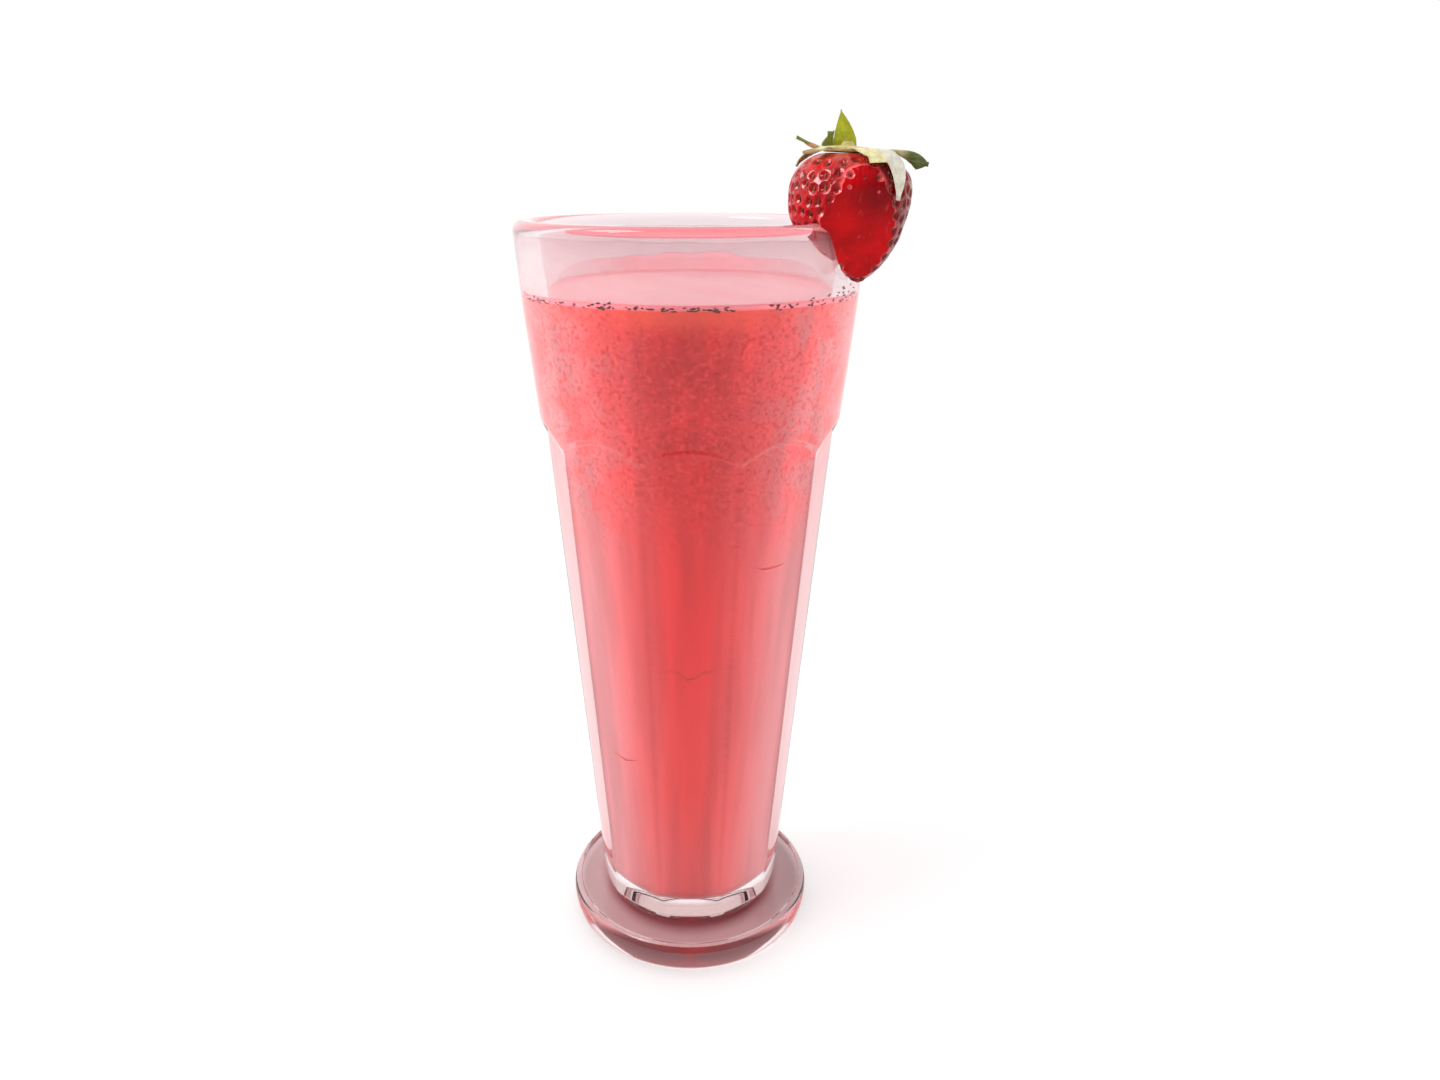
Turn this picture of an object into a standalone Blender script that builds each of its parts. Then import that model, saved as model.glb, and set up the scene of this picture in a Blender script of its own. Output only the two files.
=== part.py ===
"""Strawberry smoothie in a tall footed glass, with a strawberry on its rim.

Metres, +Z up. The origin is on the glass's axis, in the plane that the glass stands on.
The glass has ten flat facets below a round collar, and one facet faces -Y.
The strawberry sits on the rim at the right of that view, a little towards -Y.
"""

import math
import random

import bmesh
import bpy
from mathutils import Matrix, Vector

MM = 0.001
SHARP_ANGLE = math.radians(35)

# Glass
GLASS_HEIGHT = 202.4 * MM
FACETS = 10
SIDES = 60
FRONT = math.radians(-90)

FOOT_RADIUS = 36.0 * MM
FOOT_FLAT_RADIUS = 33.2 * MM
FOOT_WIDEST_HEIGHT = 5.2 * MM
FOOT_TOP_HEIGHT = 8.6 * MM
FOOT_ROUNDING = 2.6 * MM
FOOT_UNDER_ROUNDING = 2.2 * MM
FOOT_TOP_RISE = 0.3 * MM
FOOT_TOP_RISE_SHARE = 0.3
NECK_RADIUS = 24.8 * MM
NECK_HEIGHT = 9.7 * MM
NECK_FILLET = 0.4 * MM
NECK_FILLET_HEIGHT = 0.5 * MM

BOWL_BOTTOM = 10.6 * MM
FACET_BOTTOM = 12.0 * MM
FACET_TOP = 148.2 * MM
FACET_BOTTOM_RADIUS = 26.7 * MM
FACET_TOP_RADIUS = 37.8 * MM
FACET_ARCH = 4.0 * MM
FACET_FLATNESS = 0.98
FACET_ROWS = (0.0, 0.06, 0.12, 0.2, 0.45, 0.7, 0.96)
FACET_FADE = 24.0 * MM
HEEL_FLATNESS = 0.4
HEEL_INSET = 0.9 * MM
STEP_HEIGHT = 2.2 * MM
STEP_FLATNESS = 0.45

COLLAR_RADIUS = 38.5 * MM
COLLAR_BULGE = 0.25 * MM
COLLAR_PLAIN_FROM = FACET_TOP + STEP_HEIGHT + FACET_ARCH + 3.0 * MM
RIM_RADIUS = 43.6 * MM
RIM_WALL = 5.6 * MM
LIP_ROUNDING = 2.4 * MM
WALL_ROWS = (0.0, 0.35, 0.7)

# Inside of the glass
FLOOR_HEIGHT = 13.8 * MM
FLOOR_ROUNDING = 4.0 * MM
FLOOR_RADIUS = 19.8 * MM
COLLAR_INNER_RADIUS = 31.6 * MM
RIM_INNER_RADIUS = RIM_RADIUS - RIM_WALL
INNER_ROWS_MM = (140, 115, 90, 65, 42, 28)

# Drink
GAP = 0.3 * MM
DRINK_LEVEL = 185.5 * MM
DRINK_SIDES = 36
MENISCUS_RISE = 0.7 * MM
MENISCUS_WIDTH = 3.0 * MM
MENISCUS_ROWS = (0.3, 0.65, 1.0)
FROTH_RELIEF = 0.35 * MM
SWELL_LENGTHS = (7.1 * MM, 6.3 * MM)
RIPPLE_LENGTHS = (2.9 * MM, 4.1 * MM)
RIPPLE_SHARE = 0.5
DRINK_ROWS_MM = (28, 42, 62, 85, 110, 135, 160)
DRINK_TOP_ROWS = (0.86, 0.7, 0.54, 0.36, 0.18)

# Strawberry
BERRY_AZIMUTH = math.radians(-33)
BERRY_FROM_AXIS = 42.1 * MM
BERRY_TIP_HEIGHT = 189.4 * MM
BERRY_HEIGHT = 28.4 * MM
BERRY_WIDEST_HEIGHT = 18.5 * MM
BERRY_RADIUS = 13.3 * MM
BERRY_LEAN = math.radians(2.5)
BERRY_SIDES = 40
BERRY_ROWS = 24
SHOULDER_FLAT = 0.955
SHOULDER_POWER = 2.7
SHOULDER_ROWS = ((0.85, -0.25 * MM), (0.55, 0.1 * MM), (0.28, 0.5 * MM))
SHOULDER_HOLLOW = 0.6 * MM
TIP_BLUNTNESS = 0.79
TIP_SWING = 3.7 * MM
TIP_SWING_HEIGHT = 14.0 * MM
TIP_SWING_POWER = 1.5
SLIT_BOTTOM = 180.0 * MM
SLIT_SIDES = 120

# Unevenness of the skin: lobes around it, share of the radius, phase, and twist per metre
LOBES = (
    (2, 0.022, 0.7, 0.0),
    (3, 0.016, -1.1, 0.0),
    (5, 0.010, 0.0, 280.0),
)

# Slice taken off the side of the berry that faces the camera: it curves back up and down
SLICE_DEPTH = 12.45 * MM
SLICE_HEIGHT = 20.9 * MM
SLICE_CURVE = 1.57 * MM
SLICE_STRAIGHTENING = 2.86 * MM
SLICE_TURN = math.radians(3)
SLICE_LOWEST = -9.0 * MM
SLICE_HIGHEST = 39.0 * MM
SLICE_ROWS = 16
CUTTER_SIZE = 60.0 * MM

SEED_SPACING = 3.9 * MM
SEED_LENGTH = 1.5 * MM
SEED_WIDTH = 0.95 * MM
SEED_PROUD = 0.2 * MM
SEED_SUNK = 0.5 * MM
SEED_OUTLINE = ((0.5, 0.0), (-0.5, 0.0), (0.1, 0.5), (0.1, -0.5))
SEED_EDGES = ((0, 2), (2, 1), (1, 3), (3, 0))
SEED_ROW_SHARE = 0.8
SEED_SHIFT = 0.3 * MM
SEED_TURN = 0.04
SEED_LOWEST = 2.4 * MM
SEED_HIGHEST = 24.5 * MM
SEED_CLEARANCE = 1.0 * MM
WALL_TAPER = 1.2 * MM
SLOPE_STEP = 0.5 * MM
SLOPE_TURN = 0.02

# Leaves of the strawberry
LEAF_THICKNESS = 0.5 * MM
LEAF_CLEARANCE = 0.75 * MM
LEAF_EXTRA_ROOM = 0.15 * MM
LEAF_RISE = 0.2 * MM
LEAF_BASE_WIDTH = 0.85
LEAF_SPREAD = 0.6
LEAF_WAVE = 0.25 * MM
LEAF_WAVE_TURNS = 7
LEAF_COLUMNS = 3
LEAF_STEPS = 7
OUTWARD_TRIES = 200
OUTWARD_STEP = 0.01
CAP_RADIUS = 5.4 * MM
CAP_THICKNESS = 1.1 * MM
CAP_SHIFT = -1.5 * MM
CAP_DROP = 0.2 * MM
CAP_SIDES = 16
CAP_LOBES = 5
CAP_UNEVENNESS = 0.06

# The cap from below to the stalk's stub: share of its radius, share of its thickness
CAP_OUTLINE = (
    (0.5, 0.0),
    (0.95, 0.0),
    (1.0, 0.45),
    (0.9, 1.0),
    (0.4, 1.15),
    (0.22, 1.9),
)
CAP_TOP = 2.1
RANDOM_SEED = 7


def clear_scene():
    """Remove what the scene starts with."""
    for old in list(bpy.data.objects):
        bpy.data.objects.remove(old, do_unlink=True)


def material(name, colour, roughness, transmission=0.0):
    """A Principled material with the part's own colour."""
    made = bpy.data.materials.new(name)
    made.use_nodes = True
    shader = made.node_tree.nodes["Principled BSDF"]
    shader.inputs["Base Color"].default_value = (*colour, 1.0)
    shader.inputs["Roughness"].default_value = roughness
    shader.inputs["Metallic"].default_value = 0.0
    shader.inputs["Transmission Weight"].default_value = transmission
    return made


def new_object(name, mesh, finish=None):
    """Put a mesh in the scene, smooth where it is round."""
    made = bpy.data.objects.new(name, mesh)
    bpy.context.scene.collection.objects.link(made)
    if finish:
        mesh.materials.append(finish)
    mesh.shade_smooth()
    mesh.set_sharp_from_angle(angle=SHARP_ANGLE)
    return made


def mesh_from(name, points, faces):
    """A mesh whose faces all point out."""
    mesh = bpy.data.meshes.new(name)
    mesh.from_pydata(points, [], faces)
    shape = bmesh.new()
    shape.from_mesh(mesh)
    bmesh.ops.recalc_face_normals(shape, faces=shape.faces)
    shape.to_mesh(mesh)
    shape.free()
    return mesh


def closed_loft(name, rings, bottom, top):
    """A closed surface through rings of equally many points, with a point at each end."""
    count = len(rings[0])
    points = [bottom] + [point for ring in rings for point in ring] + [top]
    last = len(points) - 1
    faces = []
    for index in range(count):
        following = (index + 1) % count
        faces.append((0, 1 + following, 1 + index))
        end = 1 + (len(rings) - 1) * count
        faces.append((last, end + index, end + following))
    for row in range(len(rings) - 1):
        below = 1 + row * count
        above = below + count
        for index in range(count):
            following = (index + 1) % count
            corner = (below + index, below + following, above + following, above + index)
            faces.append((corner[0], corner[1], corner[2]))
            faces.append((corner[0], corner[2], corner[3]))
    return mesh_from(name, points, faces)


def arc(centre, radius, start_degrees, end_degrees, steps):
    """Points of an arc in the (radius, height) plane, both ends included."""
    found = []
    for step in range(steps + 1):
        angle = math.radians(start_degrees + (end_degrees - start_degrees) * step / steps)
        found.append((centre[0] + radius * math.cos(angle), centre[1] + radius * math.sin(angle)))
    return found


def between(low, high, share):
    return low + (high - low) * share


def cone_radius(height):
    """Radius of the faceted body at its corners."""
    share = (height - FACET_BOTTOM) / (FACET_TOP - FACET_BOTTOM)
    return between(FACET_BOTTOM_RADIUS, FACET_TOP_RADIUS, share)


def heel_radius(height):
    """Radius at the faceted body's bottom edge, which is drawn in."""
    return cone_radius(height) - HEEL_INSET


def collar_radius(height):
    """Outer radius of the round collar, which bulges slightly."""
    share = (height - FACET_TOP) / (GLASS_HEIGHT - FACET_TOP)
    share = min(max(share, 0.0), 1.0)
    return between(COLLAR_RADIUS, RIM_RADIUS, share) + COLLAR_BULGE * math.sin(math.pi * share)


def inner_radius(height):
    """Inner radius: a smooth curve through its sizes at the floor, the collar and the rim."""
    low = FLOOR_HEIGHT + FLOOR_ROUNDING
    middle = FACET_TOP
    high = GLASS_HEIGHT
    at_low = (height - middle) * (height - high) / ((low - middle) * (low - high))
    at_middle = (height - low) * (height - high) / ((middle - low) * (middle - high))
    at_high = (height - low) * (height - middle) / ((high - low) * (high - middle))
    return FLOOR_RADIUS * at_low + COLLAR_INNER_RADIUS * at_middle + RIM_INNER_RADIUS * at_high


def facet_share(angle):
    """Where an angle lies in its facet: 0 at the middle, -1 and 1 at the corners."""
    width = 2 * math.pi / FACETS
    offset = (angle - FRONT + width / 2) % width - width / 2
    return 2 * offset / width


def facet_flatness(height):
    """How flat the facets are at a height: they grow rounder towards the heel."""
    share = min(max((height - FACET_BOTTOM) / FACET_FADE, 0.0), 1.0)
    return between(HEEL_FLATNESS, FACET_FLATNESS, share * share * (3 - 2 * share))


def outer_ring(height, radius_at, flatness, arch=0.0):
    """A ring of the glass's outside, with flat facets where flatness is 1."""
    ring = []
    half = math.pi / FACETS
    for index in range(SIDES):
        angle = FRONT + half + 2 * math.pi * index / SIDES
        share = facet_share(angle)
        level = height + arch * (1 - share * share)
        radius = radius_at(level)
        flat = radius * math.cos(half) / math.cos(share * half)
        radius = between(radius, flat, flatness)
        ring.append((radius * math.cos(angle), radius * math.sin(angle), level))
    return ring


def round_ring(radius, height, sides=SIDES):
    """A plain round ring about the glass's axis."""
    ring = []
    for index in range(sides):
        angle = FRONT + math.pi / FACETS + 2 * math.pi * index / sides
        ring.append((radius * math.cos(angle), radius * math.sin(angle), height))
    return ring


def foot_outline():
    """(radius, height) points from the flat underside over the foot's edge to the neck."""
    points = [(FOOT_FLAT_RADIUS, 0.0)]
    points += arc((FOOT_FLAT_RADIUS, FOOT_UNDER_ROUNDING), FOOT_UNDER_ROUNDING, -60, -15, 2)
    points.append((FOOT_RADIUS, FOOT_WIDEST_HEIGHT))
    corner = (FOOT_RADIUS - FOOT_ROUNDING, FOOT_TOP_HEIGHT - FOOT_ROUNDING)
    points += arc(corner, FOOT_ROUNDING, 25, 85, 3)
    near_neck = between(NECK_RADIUS, FOOT_RADIUS, FOOT_TOP_RISE_SHARE)
    points.append((near_neck, FOOT_TOP_HEIGHT + FOOT_TOP_RISE))
    points.append((NECK_RADIUS + NECK_FILLET, NECK_HEIGHT - NECK_FILLET_HEIGHT))
    points.append((NECK_RADIUS, NECK_HEIGHT))
    return points


def wall_outline(gap, bottom):
    """(radius, height) points up the collar, over the lip and down inside, moved out by gap."""
    outside = collar_radius(GLASS_HEIGHT - LIP_ROUNDING) - LIP_ROUNDING
    inside = inner_radius(GLASS_HEIGHT - LIP_ROUNDING) + LIP_ROUNDING
    lip_height = GLASS_HEIGHT - LIP_ROUNDING
    rounding = LIP_ROUNDING + gap
    levels = [between(bottom, lip_height, share) for share in WALL_ROWS]
    points = [(collar_radius(level) + gap, level) for level in levels]
    points += arc((outside, lip_height), rounding, 5, 90, 4)
    points += arc((inside, lip_height), rounding, 90, 175, 4)
    points += [(inner_radius(level) - gap, level) for level in reversed(levels)]
    return points


def floor_outline(gap):
    """(radius, height) points of the round corner at the bottom of the inside, top to bottom."""
    centre = (FLOOR_RADIUS - FLOOR_ROUNDING, FLOOR_HEIGHT + FLOOR_ROUNDING)
    return arc(centre, FLOOR_ROUNDING - gap, 0, -80, 4)


def build_glass():
    """The glass in one piece: foot, neck, faceted bowl, collar, lip and the inside."""
    rings = [round_ring(radius, height) for radius, height in foot_outline()]
    rings.append(outer_ring(BOWL_BOTTOM, heel_radius, HEEL_FLATNESS))
    for share in FACET_ROWS:
        level = between(FACET_BOTTOM, FACET_TOP, share)
        rings.append(outer_ring(level, cone_radius, facet_flatness(level)))
    rings.append(outer_ring(FACET_TOP, cone_radius, FACET_FLATNESS, FACET_ARCH))
    middle = FACET_TOP + STEP_HEIGHT / 2
    rings.append(outer_ring(middle, collar_radius, STEP_FLATNESS, FACET_ARCH))
    rings.append(outer_ring(FACET_TOP + STEP_HEIGHT, collar_radius, 0.0, FACET_ARCH))
    upper = wall_outline(0.0, COLLAR_PLAIN_FROM)
    rings += [round_ring(radius, height) for radius, height in upper]
    for height in INNER_ROWS_MM:
        rings.append(round_ring(inner_radius(height * MM), height * MM))
    rings += [round_ring(radius, height) for radius, height in floor_outline(0.0)]
    mesh = closed_loft("glass", rings, (0.0, 0.0, 0.0), (0.0, 0.0, FLOOR_HEIGHT))
    return new_object("glass", mesh, material("clear_glass", (0.95, 0.97, 0.97), 0.02, 1.0))


def froth(x, y):
    """Unevenness of the drink's top: low swells, as foam leaves when it settles."""
    swell = math.sin(x / SWELL_LENGTHS[0] + 0.6) * math.cos(y / SWELL_LENGTHS[1] - 0.4)
    ripple = RIPPLE_SHARE * math.sin(x / RIPPLE_LENGTHS[0] + y / RIPPLE_LENGTHS[1])
    return FROTH_RELIEF * (swell + ripple) / (1 + RIPPLE_SHARE)


def build_drink():
    """The smoothie: a solid that fills the glass up to its level, clear of the wall."""
    radius_at_top = inner_radius(DRINK_LEVEL) - GAP
    rings = []
    for radius, height in reversed(floor_outline(GAP)):
        rings.append(round_ring(radius, height, DRINK_SIDES))
    for height in DRINK_ROWS_MM:
        rings.append(round_ring(inner_radius(height * MM) - GAP, height * MM, DRINK_SIDES))
    rings.append(round_ring(radius_at_top, DRINK_LEVEL + MENISCUS_RISE, DRINK_SIDES))
    for inset in MENISCUS_ROWS:
        radius = radius_at_top - MENISCUS_WIDTH * inset
        rise = MENISCUS_RISE * (1 - inset) ** 2
        rings.append(round_ring(radius, DRINK_LEVEL + rise, DRINK_SIDES))
    inner = radius_at_top - MENISCUS_WIDTH
    for share in DRINK_TOP_ROWS:
        flat = round_ring(inner * share, DRINK_LEVEL, DRINK_SIDES)
        rings.append([(x, y, z + froth(x, y)) for x, y, z in flat])
    middle = (0.0, 0.0, DRINK_LEVEL + froth(0.0, 0.0))
    bottom = (0.0, 0.0, FLOOR_HEIGHT + GAP)
    mesh = closed_loft("smoothie", rings, bottom, middle)
    return new_object("smoothie", mesh, material("smoothie", (0.80, 0.16, 0.16), 0.35))


def berry_frame():
    """Matrix from the berry's own frame, with its tip at the origin, to the part's."""
    place = Vector((
        BERRY_FROM_AXIS * math.cos(BERRY_AZIMUTH),
        BERRY_FROM_AXIS * math.sin(BERRY_AZIMUTH),
        BERRY_TIP_HEIGHT,
    ))
    middle = Vector((0.0, 0.0, BERRY_HEIGHT / 2))
    lean = Matrix.Translation(middle) @ Matrix.Rotation(BERRY_LEAN, 4, "Y")
    return Matrix.Translation(place) @ lean @ Matrix.Translation(-middle)


def berry_profile(height):
    """Radius of a round berry at a height above its tip."""
    if height <= BERRY_WIDEST_HEIGHT:
        share = max(height, 0.0) / BERRY_WIDEST_HEIGHT
        return BERRY_RADIUS * math.sin(math.pi / 2 * share ** TIP_BLUNTNESS)
    share = (height - BERRY_WIDEST_HEIGHT) / (BERRY_HEIGHT - BERRY_WIDEST_HEIGHT)
    return BERRY_RADIUS * math.sqrt(max(1 - min(share, 1.0) ** SHOULDER_POWER, 0.0))


def tip_swing(height):
    """How far the berry's middle lies to one side, near its bent tip."""
    share = min(max(height / TIP_SWING_HEIGHT, 0.0), 1.0)
    return TIP_SWING * (1 - share) ** TIP_SWING_POWER


def berry_point(height, angle, gap=0.0):
    """A point of the uneven skin, in the berry's frame, moved out by gap."""
    uneven = 0.0
    for count, share, phase, twist in LOBES:
        uneven += share * math.cos(count * angle + phase + twist * height)
    radius = berry_profile(height) * (1 + uneven) + gap
    x = radius * math.cos(angle) + tip_swing(height)
    return Vector((x, radius * math.sin(angle), height))


def berry_heights():
    """Heights of the berry's rows, closer together at the tip and the shoulder."""
    found = []
    for row in range(1, BERRY_ROWS):
        turn = math.pi * row / BERRY_ROWS
        found.append(BERRY_HEIGHT * SHOULDER_FLAT * (1 - math.cos(turn)) / 2)
    return found


def berry_body(name, gap=0.0):
    """The uncut berry as a closed mesh in the part's frame, its shoulder slightly hollow."""
    frame = berry_frame()
    rings = []
    for height in berry_heights():
        raised = height + (gap if height > BERRY_WIDEST_HEIGHT else 0.0)
        ring = []
        for index in range(BERRY_SIDES):
            point = berry_point(height, 2 * math.pi * index / BERRY_SIDES, gap)
            point.z = raised
            ring.append(tuple(frame @ point))
        rings.append(ring)
    shoulder = BERRY_HEIGHT * SHOULDER_FLAT
    edge = berry_profile(shoulder)
    for share, drop in SHOULDER_ROWS:
        ring = []
        for index in range(BERRY_SIDES):
            angle = 2 * math.pi * index / BERRY_SIDES
            level = shoulder - drop + gap
            point = Vector((edge * share * math.cos(angle), edge * share * math.sin(angle), level))
            ring.append(tuple(frame @ point))
        rings.append(ring)
    tip = tuple(frame @ Vector((TIP_SWING, 0.0, -gap)))
    top = tuple(frame @ Vector((0.0, 0.0, shoulder - SHOULDER_HOLLOW + gap)))
    return closed_loft(name, rings, tip, top)


def slice_depth(height):
    """How far out from the berry's middle the sliced face lies at a height."""
    rise = (height - SLICE_HEIGHT) / SLICE_STRAIGHTENING
    return SLICE_DEPTH - SLICE_CURVE * (math.sqrt(1 + rise * rise) - 1)


def slice_cutter():
    """A block whose one side is the curved sliced face."""
    placed = berry_frame() @ Matrix.Rotation(SLICE_TURN, 4, "Z")
    half = CUTTER_SIZE / 2
    rings = []
    for row in range(SLICE_ROWS + 1):
        height = between(SLICE_LOWEST, SLICE_HIGHEST, row / SLICE_ROWS)
        near = -slice_depth(height)
        corners = ((-half, near), (-half, -CUTTER_SIZE), (half, -CUTTER_SIZE), (half, near))
        rings.append([tuple(placed @ Vector((x, y, height))) for x, y in corners])
    middle = -CUTTER_SIZE / 2
    bottom = tuple(placed @ Vector((0.0, middle, SLICE_LOWEST)))
    top = tuple(placed @ Vector((0.0, middle, SLICE_HIGHEST)))
    return closed_loft("slice_cutter", rings, bottom, top)


def slit_cutter():
    """The glass's wall, made wider by the gap, for the slit that holds the berry on the rim."""
    outline = wall_outline(GAP, SLIT_BOTTOM)
    rings = [round_ring(radius, height, SLIT_SIDES) for radius, height in outline]
    points = [point for ring in rings for point in ring]
    faces = []
    for row in range(len(rings)):
        below = row * SLIT_SIDES
        above = ((row + 1) % len(rings)) * SLIT_SIDES
        for index in range(SLIT_SIDES):
            following = (index + 1) % SLIT_SIDES
            faces.append((below + index, below + following, above + following, above + index))
    return mesh_from("slit_cutter", points, faces)


def clear_of_cuts(point, placed):
    """Whether a seed may lie at a point: on the skin, off the slice and away from the wall."""
    turned = Matrix.Rotation(-SLICE_TURN, 3, "Z") @ point
    if -turned.y > slice_depth(point.z) - SEED_CLEARANCE:
        return False
    distance = math.hypot(placed.x, placed.y)
    low = RIM_INNER_RADIUS - WALL_TAPER - SEED_CLEARANCE
    high = RIM_RADIUS + SEED_CLEARANCE
    beside_wall = low < distance < high and placed.z < GLASS_HEIGHT + SEED_CLEARANCE
    return not beside_wall


def seed_places():
    """Staggered rows of (height, angle) over the skin."""
    found = []
    rows = round((SEED_HIGHEST - SEED_LOWEST) / (SEED_SPACING * SEED_ROW_SHARE))
    for row in range(rows + 1):
        height = between(SEED_LOWEST, SEED_HIGHEST, row / rows)
        around = 2 * math.pi * berry_profile(height)
        count = max(4, round(around / SEED_SPACING))
        for index in range(count):
            found.append((height, 2 * math.pi * (index + 0.5 * (row % 2)) / count))
    return found


def build_seeds(frame):
    """Seeds as flat eight-sided drops, half sunk in the skin, tips towards the berry's tip."""
    seeds = bpy.data.collections.new("seeds")
    bpy.context.scene.collection.children.link(seeds)
    draw = random.Random(RANDOM_SEED)
    for height, angle in seed_places():
        height += draw.uniform(-SEED_SHIFT, SEED_SHIFT)
        angle += draw.uniform(-SEED_TURN, SEED_TURN)
        point = berry_point(height, angle)
        if not clear_of_cuts(point, frame @ point):
            continue
        up = berry_point(height + SLOPE_STEP, angle) - berry_point(height - SLOPE_STEP, angle)
        up.normalize()
        across = berry_point(height, angle + SLOPE_TURN) - berry_point(height, angle - SLOPE_TURN)
        across.normalize()
        out = across.cross(up).normalized()
        shape = bmesh.new()
        corners = []
        for along, side in SEED_OUTLINE:
            corners.append(point + up * along * SEED_LENGTH + across * side * SEED_WIDTH)
        corners.append(point + out * SEED_PROUD)
        corners.append(point - out * SEED_SUNK)
        made = [shape.verts.new(frame @ corner) for corner in corners]
        for a, b in SEED_EDGES:
            shape.faces.new((made[a], made[b], made[4]))
            shape.faces.new((made[b], made[a], made[5]))
        bmesh.ops.recalc_face_normals(shape, faces=shape.faces)
        mesh = bpy.data.meshes.new("seed")
        shape.to_mesh(mesh)
        shape.free()
        seeds.objects.link(bpy.data.objects.new("seed", mesh))
    return seeds


def apply_boolean(target, operation, cutter=None, collection=None):
    """Add or take away a shape, or a collection's shapes, for good, and remove them."""
    change = target.modifiers.new("cut", "BOOLEAN")
    change.operation = operation
    change.solver = "EXACT"
    if collection:
        change.operand_type = "COLLECTION"
        change.collection = collection
    else:
        change.object = cutter
    bpy.context.view_layer.update()
    graph = bpy.context.evaluated_depsgraph_get()
    result = bpy.data.meshes.new_from_object(target.evaluated_get(graph))
    target.modifiers.remove(change)
    target.data = result
    gone = list(collection.objects) if collection else [cutter]
    for old in gone:
        bpy.data.objects.remove(old, do_unlink=True)
    if collection:
        bpy.data.collections.remove(collection)


def build_berry():
    """The strawberry: uneven body, sliced face, slit for the rim and seeds."""
    frame = berry_frame()
    finish = material("strawberry", (0.62, 0.02, 0.03), 0.25)
    berry = new_object("strawberry", berry_body("strawberry"), finish)
    apply_boolean(berry, "DIFFERENCE", new_object("slice", slice_cutter()))
    apply_boolean(berry, "DIFFERENCE", new_object("slit", slit_cutter()))
    apply_boolean(berry, "UNION", collection=build_seeds(frame))
    berry.data.shade_smooth()
    berry.data.set_sharp_from_angle(angle=SHARP_ANGLE)
    return berry


def leaf_width(share, tip_width, taper):
    """Width of a leaf along its length, as a share of its greatest width."""
    spread = min(1.0, LEAF_BASE_WIDTH + LEAF_SPREAD * share)
    return max(spread * (1 - share ** taper), tip_width)


def above_skin(point):
    """A point in the berry's frame, moved out where needed so that a leaf there clears the skin."""
    room = LEAF_CLEARANCE + LEAF_THICKNESS / 2 + LEAF_EXTRA_ROOM
    middle = Vector((0.0, 0.0, BERRY_WIDEST_HEIGHT))
    shoulder = BERRY_HEIGHT * SHOULDER_FLAT
    moved = point.copy()
    for step in range(OUTWARD_TRIES):
        height = moved.z - room if moved.z > BERRY_WIDEST_HEIGHT + room else moved.z
        angle = math.atan2(moved.y, moved.x)
        reach = berry_point(min(height, shoulder), angle).to_2d().length + room
        if moved.to_2d().length >= reach or height >= shoulder:
            break
        moved = middle + (point - middle) * (1 + OUTWARD_STEP * (step + 1))
    return moved


def leaf_slope(share, lift):
    """Slope of a leaf at a share of its length: base, tip, and where the tip's slope is reached."""
    base, tip, knee = lift
    eased = min(share / knee, 1.0)
    eased = eased * eased * (3 - 2 * eased)
    return math.radians(between(base, tip, eased))


def leaf_mesh(name, side, start, length, width, lift, sway, fold, tip_width, taper, turn):
    """A thin wavy leaf.

    side is its compass direction about the berry, start its distance from the berry's axis,
    lift its slopes as leaf_slope reads them, sway how far it leans to its left, taper how full
    it stays towards its tip, and turn how far it rolls about its own length by its tip.
    Angles are in degrees, lengths in mm.
    """
    frame = berry_frame()
    level = BERRY_HEIGHT * SHOULDER_FLAT + LEAF_CLEARANCE + LEAF_RISE
    heading = math.radians(side)
    centre = Vector((start * MM * math.cos(heading), start * MM * math.sin(heading), level))
    centre.x += CAP_SHIFT
    upper = []
    for step in range(LEAF_STEPS + 1):
        share = step / LEAF_STEPS
        slope = leaf_slope(share, lift)
        out = Vector((math.cos(heading), math.sin(heading), 0.0))
        along = out * math.cos(slope) + Vector((0.0, 0.0, math.sin(slope)))
        across = Vector((-math.sin(heading), math.cos(heading), 0.0))
        along = (along + across * math.tan(math.radians(sway))).normalized()
        across = (across - along * across.dot(along)).normalized()
        roll = Matrix.Rotation(math.radians(turn) * share, 3, along)
        across = roll @ across
        face = along.cross(across).normalized()
        half = width * MM * leaf_width(share, tip_width, taper) / 2
        wave = LEAF_WAVE * math.sin(LEAF_WAVE_TURNS * share + side)
        row = [
            centre - across * half + face * (wave - 2 * fold * half),
            centre.copy(),
            centre + across * half - face * (wave + 2 * fold * half),
        ]
        upper.append([(above_skin(point), face) for point in row])
        centre = centre + along * (length * MM / LEAF_STEPS)
    points = []
    for offset in (0.5, -0.5):
        for row in upper:
            for point, face in row:
                points.append(tuple(frame @ (point + face * LEAF_THICKNESS * offset)))
    layer = (LEAF_STEPS + 1) * LEAF_COLUMNS
    faces = []
    for step in range(LEAF_STEPS):
        for column in range(LEAF_COLUMNS - 1):
            a = step * LEAF_COLUMNS + column
            b = a + 1
            c = b + LEAF_COLUMNS
            d = a + LEAF_COLUMNS
            faces += [(a, b, c), (a, c, d)]
            faces += [(layer + a, layer + c, layer + b), (layer + a, layer + d, layer + c)]
    border = [step * LEAF_COLUMNS for step in range(LEAF_STEPS + 1)]
    border.append(LEAF_STEPS * LEAF_COLUMNS + 1)
    border += [step * LEAF_COLUMNS + 2 for step in range(LEAF_STEPS, -1, -1)]
    border.append(1)
    for index, a in enumerate(border):
        b = border[(index + 1) % len(border)]
        faces += [(a, b, layer + b), (a, layer + b, layer + a)]
    return mesh_from(name, points, faces)


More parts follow.
